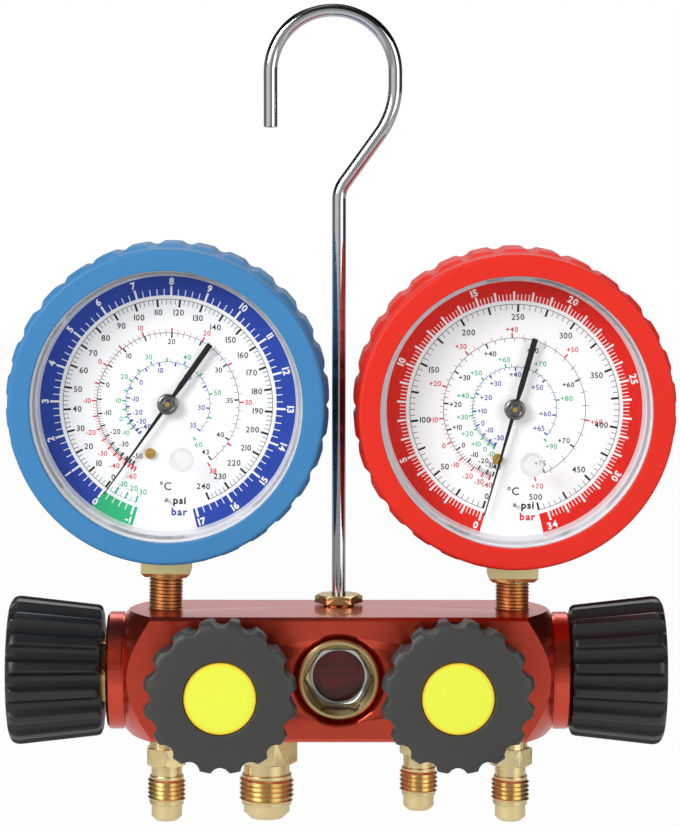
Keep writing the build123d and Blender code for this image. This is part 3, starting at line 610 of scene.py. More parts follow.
def softened(mesh: Mesh, angle: float) -> Mesh:
    """Shade a mesh smooth, with its real edges kept sharp and its flat faces kept flat.

    Args:
        mesh: the mesh to shade.
        angle: an edge bent by more than this many degrees stays sharp.

    Returns:
        The shaded mesh, whose normals lean to the larger faces.
    """
    mesh.shade_smooth()
    mesh.set_sharp_from_angle(angle=radians(angle))
    carrier = carried(mesh)
    step = carrier.modifiers.new("even_normals", "WEIGHTED_NORMAL")
    step.mode = "FACE_AREA"
    step.weight = 100
    step.keep_sharp = True
    return shown(carrier)


def copied(node: str) -> Mesh:
    """The mesh of a CAD node, with its loose triangles joined up.

    Args:
        node: the node's name.

    Returns:
        A merged copy, in metres.
    """
    shape = opened(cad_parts[node].data)
    bmesh.ops.remove_doubles(shape, verts=shape.verts, dist=1e-7)
    return formed(shape, node, outward=False)


def turned_down(mesh: Mesh, seat: Placing, heights: Spot, radii: Spot, root: float) -> Mesh:
    """Bring a stretch of a round part down to the root of its thread.

    Args:
        mesh: the part in its place, which is changed itself.
        seat: where the part's axis starts.
        heights: the heights between which it is turned.
        radii: the radii between which a point is moved.
        root: the root's radius.

    Returns:
        The part.
    """
    move = seat.matrix()
    back = move.inverted()
    for vertex in mesh.vertices:
        spot = back @ vertex.co
        out = hypot(spot.x, spot.y)
        if heights[0] < spot.z < heights[1] and radii[0] < out < radii[1]:
            spot.x *= root / out
            spot.y *= root / out
            vertex.co = move @ spot
    return mesh


@dataclass(frozen=True)
class Workshop:
    """Sets finished pieces in the frame."""

    count: list[str]

    def fit(
        self, name: str, mesh: Mesh, finish: Material, slot: str, *nodes: str,
        body: str = "manifold", angle: float = 30.0,
    ) -> None:
        """Make a piece of a mesh in its place, dress it and set it on its body.

        Args:
            name: the piece's name.
            mesh: its mesh, in metres and in its place.
            finish: its material.
            slot: the record's material slot; not used.
            nodes: the CAD nodes that it stands for.
            body: the body that it rides on.
            angle: edges bent by more than this many degrees stay sharp.
        """
        mesh.materials.clear()
        mesh.materials.append(finish)
        mesh.polygons.foreach_set("material_index", [0] * len(mesh.polygons))
        mesh = softened(mesh, angle)
        mesh.name = name
        piece = bpy.data.objects.new(name, mesh)
        bpy.context.scene.collection.objects.link(piece)
        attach(piece, body)
        if nodes:
            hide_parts(*nodes)
        self.count.append(name)
        log.info("%s: %d faces on %s", name, len(mesh.polygons), body)

    def dress(self, node: str, finish: Material) -> None:
        """Give a CAD node that stays its finish.

        Args:
            node: the node's name.
            finish: its material.
        """
        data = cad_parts[node].data
        if not data.materials:
            data.materials.append(finish)
        for index in range(len(data.materials)):
            data.materials[index] = finish


class Pattern:
    """A geometry tree for what repeats or follows a path, with named inputs."""

    def __init__(self, name: str, *sizes: str, counts: tuple[str, ...] = ()) -> None:
        """Start the tree with its geometry, number and material inputs.

        Args:
            name: the tree's name.
            sizes: the names of its inputs that are measures.
            counts: the names of its inputs that are whole numbers.
        """
        self.tree = bpy.data.node_groups.new(name, "GeometryNodeTree")
        rows = [("Geometry", "Geometry"), *((title, "Int") for title in counts),
                *((title, "Float") for title in sizes), ("Finish", "Material")]
        for title, kind in rows:
            self.tree.interface.new_socket(title, in_out="INPUT",
                                           socket_type=f"NodeSocket{kind}")
        self.tree.interface.new_socket("Geometry", in_out="OUTPUT",
                                       socket_type="NodeSocketGeometry")
        self.graph = Graph(self.tree)
        self.inlet = self.graph.put("NodeGroupInput").outputs

    def close(self, geometry: Socket) -> "Pattern":
        """End the tree: make its instances real and give it its material.

        Args:
            geometry: the geometry made so far.

        Returns:
            The pattern itself.
        """
        real = self.graph.get("GeometryNodeRealizeInstances", {"Geometry": geometry})
        feeds = {"Geometry": real, "Material": self.inlet["Finish"]}
        self.graph.put("NodeGroupOutput", {0: self.graph.get("GeometryNodeSetMaterial", feeds)})
        return self

    def grow(self, seed: bpy.types.ID, inputs: dict[str, float]) -> Mesh:
        """Run the tree on a mesh or a curve and keep what it makes.

        Args:
            seed: the mesh or curve that the tree starts from.
            inputs: the value of each named input.

        Returns:
            The plain mesh.
        """
        carrier = carried(seed)
        step = carrier.modifiers.new(self.tree.name, "NODES")
        step.node_group = self.tree
        for item in self.tree.interface.items_tree:
            if item.in_out == "INPUT" and item.name in inputs:
                step[item.identifier] = inputs[item.name]
        return shown(carrier)


def fluting() -> Pattern:
    """The tree that cuts round flutes into the side of a turned shape.

    Returns:
        The pattern, which moves each point in to the cutter's circle, softly.
    """
    made = Pattern("flutes", "Cutter Radius", "Cutter Centre", "Softness", "Taper",
                   "Full Height", counts=("Count",))
    graph, inlet = made.graph, made.inlet
    place = graph.get("GeometryNodeInputPosition")
    x, y, z = graph.put("ShaderNodeSeparateXYZ", {0: place}).outputs
    square = graph.plus(graph.times(x, x), graph.times(y, y))
    radius = graph.most(graph.work("SQRT", square), 1e-6)
    below = graph.most(graph.minus(inlet["Full Height"], z), 0.0)
    centre = graph.minus(inlet["Cutter Centre"], graph.times(inlet["Taper"], below))
    half = graph.over(pi, inlet["Count"])
    near = graph.work("WRAP", graph.work("ARCTAN2", y, x), half, graph.times(half, -1.0))
    aside = graph.work("ABSOLUTE", graph.times(graph.work("SINE", near), centre))
    ahead = graph.times(graph.work("COSINE", near), centre)
    room = graph.minus(graph.work("POWER", inlet["Cutter Radius"], 2.0),
                       graph.times(aside, aside))
    wall = graph.minus(ahead, graph.work("SQRT", graph.most(room, 0.0)))
    past = graph.most(graph.minus(aside, inlet["Cutter Radius"]), 0.0)
    wall = graph.plus(wall, graph.times(past, 4.0))
    ratio = graph.over(graph.work("SMOOTH_MIN", radius, wall, inlet["Softness"]), radius)
    feeds = {0: graph.times(x, ratio), 1: graph.times(y, ratio), 2: z}
    moved = graph.get("ShaderNodeCombineXYZ", feeds)
    feeds = {"Geometry": inlet["Geometry"], "Position": moved}
    return made.close(graph.get("GeometryNodeSetPosition", feeds))


def swept(graph: Graph, line: Socket, radius: object, corners: int, scale: Socket) -> Socket:
    """Sweep a round or cornered profile along a curve, with closed ends.

    Args:
        graph: the geometry's graph.
        line: the curve.
        radius: the profile's radius, a number or a socket.
        corners: how many corners it has.
        scale: how thick it is at each point, from 0 to 1.

    Returns:
        The swept mesh's socket.
    """
    feeds = {"Resolution": corners, "Radius": radius}
    ring = graph.get("GeometryNodeCurvePrimitiveCircle", feeds, mode="RADIUS")
    feeds = {"Curve": line, "Profile Curve": ring, "Scale": scale, "Fill Caps": True}
    return graph.get("GeometryNodeCurveToMesh", feeds)


def threading() -> Pattern:
    """The tree that winds a screw thread's ridge, faded at both ends.

    Returns:
        The pattern, which makes a right-handed ridge up the Z axis.
    """
    made = Pattern("screw_thread", "Crest Radius", "Pitch", "Turns")
    graph, inlet = made.graph, made.inlet
    ridge = graph.times(inlet["Pitch"], 0.5)
    line = graph.minus(inlet["Crest Radius"], ridge)
    feeds = {
        "Resolution": 40,
        "Rotations": inlet["Turns"],
        "Start Radius": line,
        "End Radius": line,
        "Height": graph.times(inlet["Turns"], inlet["Pitch"]),
    }
    helix = graph.get("GeometryNodeCurveSpiral", feeds)
    upright = graph.get("GeometryNodeSetCurveNormal", {"Curve": helix}, mode="Z_UP")
    along = graph.get("GeometryNodeSplineParameter", outlet="Factor")
    end = graph.least(along, graph.minus(1.0, along))
    fade = graph.times(graph.times(end, inlet["Turns"]), 2.0)
    fade = graph.most(graph.least(fade, 1.0), 0.05)
    return made.close(swept(graph, upright, ridge, 4, fade))


def marking() -> Pattern:
    """The tree that sets a short bar on each point, pointing away from the middle.

    Returns:
        The pattern; each point's "size" attribute is its bar's length, width and thickness.
    """
    made = Pattern("scale_marks")
    graph = made.graph
    place = graph.get("GeometryNodeInputPosition")
    x, y, _ = graph.put("ShaderNodeSeparateXYZ", {0: place}).outputs
    turn = graph.get("ShaderNodeCombineXYZ", {2: graph.work("ARCTAN2", y, x)})
    size = graph.get("GeometryNodeInputNamedAttribute", {"Name": "size"}, "Attribute",
                     data_type="FLOAT_VECTOR")
    bar = graph.get("GeometryNodeMeshCube", {"Size": (1.0, 1.0, 1.0)}, "Mesh")
    feeds = {"Points": made.inlet["Geometry"], "Instance": bar, "Rotation": turn, "Scale": size}
    return made.close(graph.get("GeometryNodeInstanceOnPoints", feeds))


def tubing() -> Pattern:
    """The tree that lays a round rod along a curve, as thick as each point says.

    Returns:
        The pattern.
    """
    made = Pattern("rod", "Radius")
    swell = made.graph.get("GeometryNodeInputRadius")
    return made.close(swept(made.graph, made.inlet["Geometry"], made.inlet["Radius"], 48, swell))


@dataclass(frozen=True)
class Patterns:
    """The geometry trees that the set uses."""

    flutes: Pattern
    thread: Pattern
    marks: Pattern
    rod: Pattern

    def screw(self, crest: float, pitch: float, length: float) -> Mesh:
        """A thread's ridge up the Z axis from 0.

        Args:
            crest: radius over the crests.
            pitch: distance between crests.
            length: how far the thread runs.

        Returns:
            The ridge's mesh, in millimetres.
        """
        inputs = {"Crest Radius": crest, "Pitch": pitch, "Turns": length / pitch}
        return self.thread.grow(bpy.data.meshes.new("seed"), inputs)

    def fluted(
        self, body: Mesh, count: int, cutter: float, centre: float, soft: float,
        taper: float = 0.0, height: float = 0.0,
    ) -> Mesh:
        """Cut flutes into a turned shape.

        Args:
            body: the turned shape, in millimetres.
            count: how many flutes go round.
            cutter: the cutter's radius.
            centre: how far the cutter's middle is from the axis.
            soft: how softly the flutes meet the outside.
            taper: how much nearer the axis the cutter comes for each millimetre down.
            height: where along the axis the cutter is at its full distance.

        Returns:
            The fluted mesh.
        """
        inputs = {
            "Count": count,
            "Cutter Radius": cutter,
            "Cutter Centre": centre,
            "Softness": soft,
            "Taper": taper,
            "Full Height": height,
        }
        return self.flutes.grow(body, inputs)


@dataclass(frozen=True)
class Stand:
    """The main places of the set, in millimetres."""

    rod_x: float = 1.8
    axis_y: float = -9.0
    axis_z: float = -188.6
    side: float = 36.0
    mouth_reach: float = 66.7

    @property
    def middle(self) -> Point:
        """The middle of the block's axis."""
        return (self.rod_x, self.axis_y, self.axis_z)

    @property
    def top(self) -> float:
        """The height of the block's top."""
        return self.axis_z + self.side / 2

    def side_mouth(self, side: int) -> Placing:
        """Where a side valve is screwed in; side is -1 for left and 1 for right."""
        origin = (self.rod_x + side * self.mouth_reach, self.axis_y, self.axis_z)
        return Placing(origin, (0.0, -side, 0.0), (0.0, 0.0, -1.0))

    def front_mouth(self, x: float) -> Placing:
        """Where a front valve is screwed in; x is how far it is from the rod's line."""
        origin = (self.rod_x + x, self.axis_y - self.side / 2, self.axis_z)
        return Placing(origin, (1.0, 0.0, 0.0), (0.0, 0.0, 1.0))

    def port_seat(self, x: float) -> Placing:
        """Where a port is screwed in under the block; it faces down."""
        origin = (self.rod_x + x, self.axis_y, self.axis_z - self.side / 2)
        return Placing(origin, (1.0, 0.0, 0.0), (0.0, -1.0, 0.0))


BRASS = (paint(236, 212, 148), paint(196, 158, 96))
PALE_BRASS = (paint(242, 226, 174), paint(212, 182, 124))


def arc(middle: Spot, radius: float, start: float, end: float, steps: int) -> list[Spot]:
    """Points along an arc.

    Args:
        middle: the arc's middle.
        radius: its radius.
        start: the angle that it starts at, in radians anticlockwise from the right.
        end: the angle that it ends at.
        steps: how many stretches it is divided into.

    Returns:
        The points, both ends among them.
    """
    turns = [start + (end - start) * step / steps for step in range(steps + 1)]
    return [(middle[0] + radius * cos(turn), middle[1] + radius * sin(turn)) for turn in turns]


@dataclass
class HangingHook:
    """The bright bent rod, and the nut that holds it."""

    shop: Workshop
    tube: Pattern
    rod_x: float
    rod_r: float = 2.0
    loop_r: float = 18.0
    leg_drop: float = 15.85
    shoulder_drop: float = 3.6
    shoulder_r: float = 24.5
    lean: float = 35.9
    neck_r: float = 8.0
    foot: float = -176.9
    ease: float = 0.35

    def path(self) -> list[Point]:
        """The rod's middle line, from the hook's open end to its foot.

        Returns:
            The line's points, in millimetres.
        """
        middle = self.rod_r - self.loop_r
        bend = radians(self.lean)
        line = [(-self.loop_r, middle - self.leg_drop)]
        line += arc((0.0, middle), self.loop_r, pi, 0.0, 90)
        shoulder = (self.loop_r - self.shoulder_r, middle - self.shoulder_drop)
        line += arc(shoulder, self.shoulder_r, 0.0, -bend, 18)
        slant_x, slant_z = line[-1]
        corner = slant_z - (slant_x - self.rod_x) / tan(bend)
        neck = (self.rod_x + self.neck_r, corner - self.neck_r * tan(bend / 2))
        line += arc(neck, self.neck_r, pi - bend, pi, 12)
        line.append((self.rod_x, self.foot))
        return [(x, 0.0, z) for x, z in line]

    def rod(self) -> Mesh:
        """The rod, with its open end eased.

        Returns:
            The rod's mesh, in millimetres.
        """
        points = self.path()
        x, y, z = points[0]
        points.insert(1, (x, y, z + self.ease))
        curve = bpy.data.curves.new("rod_line", "CURVE")
        curve.dimensions = "3D"
        spline = curve.splines.new("POLY")
        spline.points.add(len(points) - 1)
        for spot, place in zip(spline.points, points):
            spot.co = (*place, 1.0)
            spot.radius = 1.0
        spline.points[0].radius = 1 - self.ease / self.rod_r
        return self.tube.grow(curve, {"Radius": self.rod_r})

    def build(self) -> None:
        """Build the rod and the nut."""
        chrome = Metal("bright_chrome", paint(196, 197, 200), paint(172, 174, 178), 0.09,
                       fineness=1.2, depth=0.002, spread=0.04)
        rod = self.rod()
        rod.transform(Matrix.Scale(MM, 4))
        self.shop.fit("bent_rod", rod, chrome.make(), "chromed_steel", "hook",
                      body="hanging_hook")
        nut = Metal("nut_brass", *BRASS, 0.24, Grain.TURNED, centre=(self.rod_x, 0.0, 0.0),
                    fineness=4.0, depth=0.006)
        self.shop.fit("rod_nut", copied("hook_nut"), nut.make(), "brass", "hook_nut", angle=20.0)


@dataclass
class ValveBlock:
    """The red anodised bar with its sight glass and the bonnets of its valves."""

    shop: Workshop
    stand: Stand
    socket_r: float = 8.75

    def build(self) -> None:
        """Build the bar, the sight glass and the bonnets."""
        red = Metal("red_anodising", paint(220, 80, 54), paint(192, 58, 38), 0.3, Grain.BRUSHED,
                    axis=(1.0, 0.0, 0.0), fineness=8.0, depth=0.005, coat=0.45)
        ring = Metal("ring_brass", paint(232, 216, 160), paint(160, 134, 84), 0.34, Grain.TURNED,
                     axis=(0.0, 1.0, 0.0), centre=self.stand.middle, fineness=2.2, depth=0.05,
                     inner=paint(196, 196, 192), inner_r=self.socket_r)
        glass = Clear("sight_pane", paint(168, 80, 62), 1.0, 0.2, transmission=0.97)
        bonnet = Metal("bonnet_brass", *BRASS, 0.26, fineness=2.0)
        rows = (
            ("anodised_bar", "manifold_block", red, "anodised_red", 20.0),
            ("sight_ring", "sight_glass_ring", ring, "brass", 20.0),
            ("sight_pane", "sight_glass_window", glass, "sight_glass", 30.0),
            ("valve_bonnets_turned", "valve_bonnets", bonnet, "brass", 20.0),
        )
        for name, node, finish, slot, angle in rows:
            self.shop.fit(name, copied(node), finish.make(), slot, node, angle=angle)


@dataclass
class Knob:
    """A fluted handwheel with its coloured disc."""

    shop: Workshop
    patterns: Patterns
    name: str
    seat: Placing
    disc: Colour
    # rim: painted shade on the disc's rounded edge.
    rim: Colour
    disc_slot: str
    shell: Material
    shell_slot: str
    flutes: int = 16
    flute_r: float = 2.6
    flute_centre: float = 21.9
    flute_taper: float = 0.105
    flute_top: float = 24.0
    disc_top: float = 26.6
    disc_r: float = 10.15
    profile: tuple[Point, ...] = (
        (11.6, 0.0, 0.4), (18.8, 0.0, 1.6), (21.8, 26.6, 3.4), (14.0, 27.1, 2.0),
        (10.3, 27.1, 0.5), (10.2, 25.3, 0.0), (4.5, 25.3, 0.0), (4.5, 21.6, 0.0),
        (3.1, 21.6, 0.0), (3.1, 12.6, 0.0), (11.6, 12.6, 0.0),
    )

    def build(self) -> None:
        """Build the shell and its disc."""
        handle = f"{self.name}_handle"
        body = lathe(rounded(self.profile, bends=8), 448)
        shell = self.patterns.fluted(body, self.flutes, self.flute_r, self.flute_centre, 0.25,
                                     self.flute_taper, self.flute_top)
        self.shop.fit(f"{self.name}_knob_shell", self.seat.set(shell), self.shell,
                      self.shell_slot, f"{self.name}_valve_knob", body=handle, angle=50.0)
        top, radius = self.disc_top, self.disc_r
        corners = ((0.0, top - 1.3, 0.0), (radius, top - 1.3, 0.0), (radius, top - 0.1, 0.5),
                   (7.0, top, 1.5), (0.0, top, 0.0))
        badge = Badge(f"{self.name}_disc_print_rim_shade", self.disc, self.rim,
                      self.seat.shifted(out=top).origin, radius)
        self.shop.fit(f"{self.name}_knob_disc", self.seat.set(lathe(rounded(corners), 128)),
                      badge.make(), self.disc_slot, f"{self.name}_valve_disc", body=handle,
                      angle=50.0)


@dataclass
class FlarePort:
    """A brass hose connection with its thread cut on it."""

    shop: Workshop
    patterns: Patterns
    name: str
    seat: Placing
    thread_r: float
    nose_r: float
    pitch: float
    thread_start: float
    thread_length: float
    slack: float = 0.05

    def build(self) -> None:
        """Turn the threaded stretch down to its root and wind the ridge round it."""
        root = self.thread_r - 0.5 * self.pitch
        heights = (self.thread_start - self.slack,
                   self.thread_start + self.thread_length + self.slack)
        mesh = turned_down(copied(self.name), self.seat, heights,
                           (max(root, self.nose_r + 0.2), inf), root)
        ridge = self.patterns.screw(self.thread_r, self.pitch, self.thread_length - self.pitch)
        self.seat.shifted(out=self.thread_start + self.pitch / 2).set(ridge)
        brass = Metal(f"{self.name}_brass", *PALE_BRASS, 0.3, Grain.TURNED,
                      centre=self.seat.origin, fineness=4.0)
        whole = formed(opened(mesh, ridge), "port", outward=False)
        self.shop.fit(f"{self.name}_threaded", whole, brass.make(), "brass", self.name,
                      angle=20.0)


@dataclass(frozen=True)
class Glyph:
    """One raised letter of height 1: its points, its faces and how far the next one stands."""

    points: list[Point]
    faces: list[Face]
    advance: float


PLAIN = 0.018
BOLD = 0.05
LETTER_GAP = 0.14


class Lettering:
    """Raised plain letters and figures; each is made once and then copied."""

    def __init__(self) -> None:
        """Start with no letters."""
        self.kept: dict[tuple[str, float], Glyph] = {}

    def glyph(self, letter: str, weight: float) -> Glyph:
        """One letter.

        Args:
            letter: the letter or figure.
            weight: how much it is emboldened, in parts of its height.

        Returns:
            The letter, its foot at 0 and its left side at 0.
        """
        key = (letter, weight)
        if key in self.kept:
            return self.kept[key]
        curve = bpy.data.curves.new("letter", "FONT")
        curve.body = letter
        curve.size = 1.39
        curve.extrude = 0.5
        curve.offset = weight
        curve.resolution_u = 3
        shape = opened(shown(carried(curve)))
        bmesh.ops.remove_doubles(shape, verts=shape.verts, dist=1e-5)
        bmesh.ops.recalc_face_normals(shape, faces=shape.faces)
        sides = [vertex.co.x for vertex in shape.verts]
        shape.verts.index_update()
        points = [(v.co.x - min(sides), v.co.y, v.co.z) for v in shape.verts]
        faces = [tuple(vertex.index for vertex in face.verts) for face in shape.faces]
        shape.free()
        self.kept[key] = Glyph(points, faces, max(sides) - min(sides) + LETTER_GAP)
        return self.kept[key]

    def line(self, text: str, weight: float) -> tuple[list[Glyph], float]:
        """The letters of a text, and how long their line is for a height of 1.

        Args:
            text: the text.
            weight: how much it is emboldened.

        Returns:
            The letters and the length.
        """
        glyphs = [self.glyph(letter, weight) for letter in text]
        return glyphs, sum(glyph.advance for glyph in glyphs) - LETTER_GAP


def spoke(turn: float, radius: float) -> Spot:
    """A point on a dial.

    Args:
        turn: its angle, in degrees clockwise from straight down.
        radius: how far it is from the middle.

    Returns:
        How far it is to the right and up.
    """
    angle = radians(turn)
    return (-sin(angle) * radius, -cos(angle) * radius)


class Print:
    """Everything printed on one dial in one ink: bands, lines, figures and marks."""

    def __init__(self, letters: Lettering, marks: Pattern, level: float, thick: float) -> None:
        """Start an empty print.

        Args:
            letters: where its figures come from.
            marks: the tree that sets its marks.
            level: how far forward the print's middle is on the gauge.
            thick: its thickness.
        """
        self.letters = letters
        self.pattern = marks
        self.level = level
        self.thick = thick
        self.points: list[Point] = []
        self.faces: list[Face] = []
        self.places: list[Point] = []
        self.sizes: list[Point] = []

    def add(self, points: Iterable[Point], faces: Iterable[Face]) -> None:
        """Take in a closed shape.

        Args:
            points: its points.
            faces: its faces, by number in the points.
        """
        first = len(self.points)
        self.points.extend(points)
        self.faces.extend(tuple(first + number for number in face) for face in faces)

    def band(self, inner: float, outer: float, start: float, end: float) -> None:
        """A flat band round the dial.

        Args:
            inner: its inner radius.
            outer: its outer radius.
            start: where it starts, in degrees clockwise from straight down.
            end: where it ends.
        """
        steps = max(8, int(abs(end - start) / 1.5))
        low, high = self.level - self.thick / 2, self.level + self.thick / 2
        corners = ((inner, low), (outer, low), (outer, high), (inner, high))
        points = [
            (*spoke(start + (end - start) * step / steps, radius), height)
            for step in range(steps + 1) for radius, height in corners
        ]
        faces = [
            (here + side, here + 4 + side, here + 4 + (side + 1) % 4, here + (side + 1) % 4)
            for here in range(0, 4 * steps, 4) for side in range(4)
        ]
        faces.append((0, 1, 2, 3))
        faces.append((4 * steps + 3, 4 * steps + 2, 4 * steps + 1, 4 * steps))
        self.add(points, faces)

    def tick(self, turn: float, start: float, end: float, width: float) -> None:
        """A mark across a scale.

        Args:
            turn: its place, in degrees clockwise from straight down.
            start: the radius that it starts at.
            end: the radius that it ends at.
            width: its width.
        """
        self.places.append((*spoke(turn, (start + end) / 2), self.level))
        self.sizes.append((abs(end - start), width, self.thick))

    def write(
        self, text: str, place: Spot, height: float, weight: float, tilt: float = 0.0
    ) -> None:
        """A line of letters about a middle.

        Args:
            text: what it says.
            place: how far its middle is to the right and up.
            height: how tall a figure is.
            weight: how much it is emboldened.
            tilt: how far it is turned, in degrees anticlockwise.
        """
        glyphs, run = self.letters.line(text, weight)
        pen = -run / 2
        angle = radians(tilt)
        for glyph in glyphs:
            points = []
            for right, up, out in glyph.points:
                across, rise = (right + pen) * height, (up - 0.5) * height
                x = place[0] + across * cos(angle) - rise * sin(angle)
                y = place[1] + across * sin(angle) + rise * cos(angle)
                points.append((x, y, self.level + out * self.thick))
            self.add(points, glyph.faces)
            pen += glyph.advance

    def label(self, text: str, turn: float, edge: float, side: int, height: float) -> None:
        """An upright number beside a mark.

        Args:
            text: the number.
            turn: the mark's place, in degrees clockwise from straight down.
            edge: the radius that the number keeps clear of.
            side: 1 where the number is outside that radius, -1 where it is inside.
            height: how tall its figures are.
        """
        run = self.letters.line(text, PLAIN)[1]
        across, down = spoke(turn, height / 2)
        radius = edge + side * (abs(across) * run + abs(down))
        self.write(text, spoke(turn, radius), height, PLAIN)

    def mesh(self) -> Mesh:
        """The whole print, in the gauge's own millimetres.

        Returns:
            The print's mesh.
        """
        drawn = bpy.data.meshes.new("print")
        drawn.from_pydata(self.points, [], self.faces)
        drawn = formed(opened(drawn), "print")
        if not self.places:
            return drawn
        seed = bpy.data.meshes.new("places")
        seed.from_pydata(self.places, [], [])
        sizes = seed.attributes.new("size", "FLOAT_VECTOR", "POINT")
        sizes.data.foreach_set("vector", [part for size in self.sizes for part in size])
        return formed(opened(drawn, self.pattern.grow(seed, {})), "print", outward=False)


@dataclass(frozen=True)
class Vapour:
    """A temperature scale: how a refrigerant's vapour pressure grows, and how it is set out.

    The pressure is in bar and absolute; the circle is the line that its marks stand on, side
    is 1 for marks outside it and -1 for marks inside, and reach is how long a mark is.
    """

    ink: str
    at_20: float
    slope: float
    circle: float
    side: int
    reach: float
    labels: tuple[int, ...]
    step: int

    def bar(self, celsius: float) -> float:
        """The gauge pressure at a temperature."""
        warmth = 1 / 293.15 - 1 / (celsius + 273.15)
        return self.at_20 * exp(self.slope * warmth) - 1.013


@dataclass(frozen=True)
class Scale:
    """How one gauge's dial is laid out."""

    rest: float
    sweep: float
    top_bar: int
    low_bar: int
    bar_labels: tuple[int, ...]
    bold_psi: int
    label_psi: int
    fine_psi: int
    top_psi: int
    plus: str
    bold_celsius: int
    ring_start: float
    ring_end: float
    vapours: tuple[Vapour, ...]

    def turn(self, bar: float) -> float:
        """Where a pressure stands, in degrees clockwise from straight down."""
        return self.rest + self.sweep * bar


def vapours(steps: int, *labels: tuple[int, ...]) -> tuple[Vapour, ...]:
    """The four temperature scales of a dial.

    Args:
        steps: the degrees between the fine marks of the two outer scales.
        labels: the numbered temperatures of each scale.

    Returns:
        The scales: two on the outer circle and two on the inner one.
    """
    rows = (("red", 10.5, 2433, 20.3, 1, 1.4), ("black", 9.10, 2461, 20.3, -1, 1.4),
            ("green", 5.72, 2631, 12.0, 1, 1.1), ("blue", 10.93, 2334, 12.0, -1, 1.1))
    pairs = zip(rows, labels, (steps, steps, 2, 2))
    return tuple(Vapour(*row, numbers, step) for row, numbers, step in pairs)


LOW_SCALE = Scale(
    35.5, 18.15, 17, -1, (-1, *range(0, 18)), 10, 10, 2, 240, "", 5, 15.2, 345.8,
    vapours(
        1,
        (-60, *range(-40, 31, 10), 38),
        (-50, *range(-30, 31, 10), 35, 40, 43),
        tuple(range(-10, 61, 10)),
        (*range(-40, 31, 10), 35),
    ),
)
HIGH_SCALE = Scale(
    17.5, 9.54, 34, 0, (*range(0, 31, 5), 34), 25, 50, 5, 500, "+", 10, 15.7, 346.8,
    vapours(
        2,
        tuple(range(-40, 71, 10)),
        (*range(-40, 71, 10), 75),
        tuple(range(-10, 91, 10)),
        (-30, *range(-10, 61, 10), 65),
    ),
)
PSI_PER_BAR = 14.504
BAR_PER_INCH = 0.033864
FULL_VACUUM = -1.016


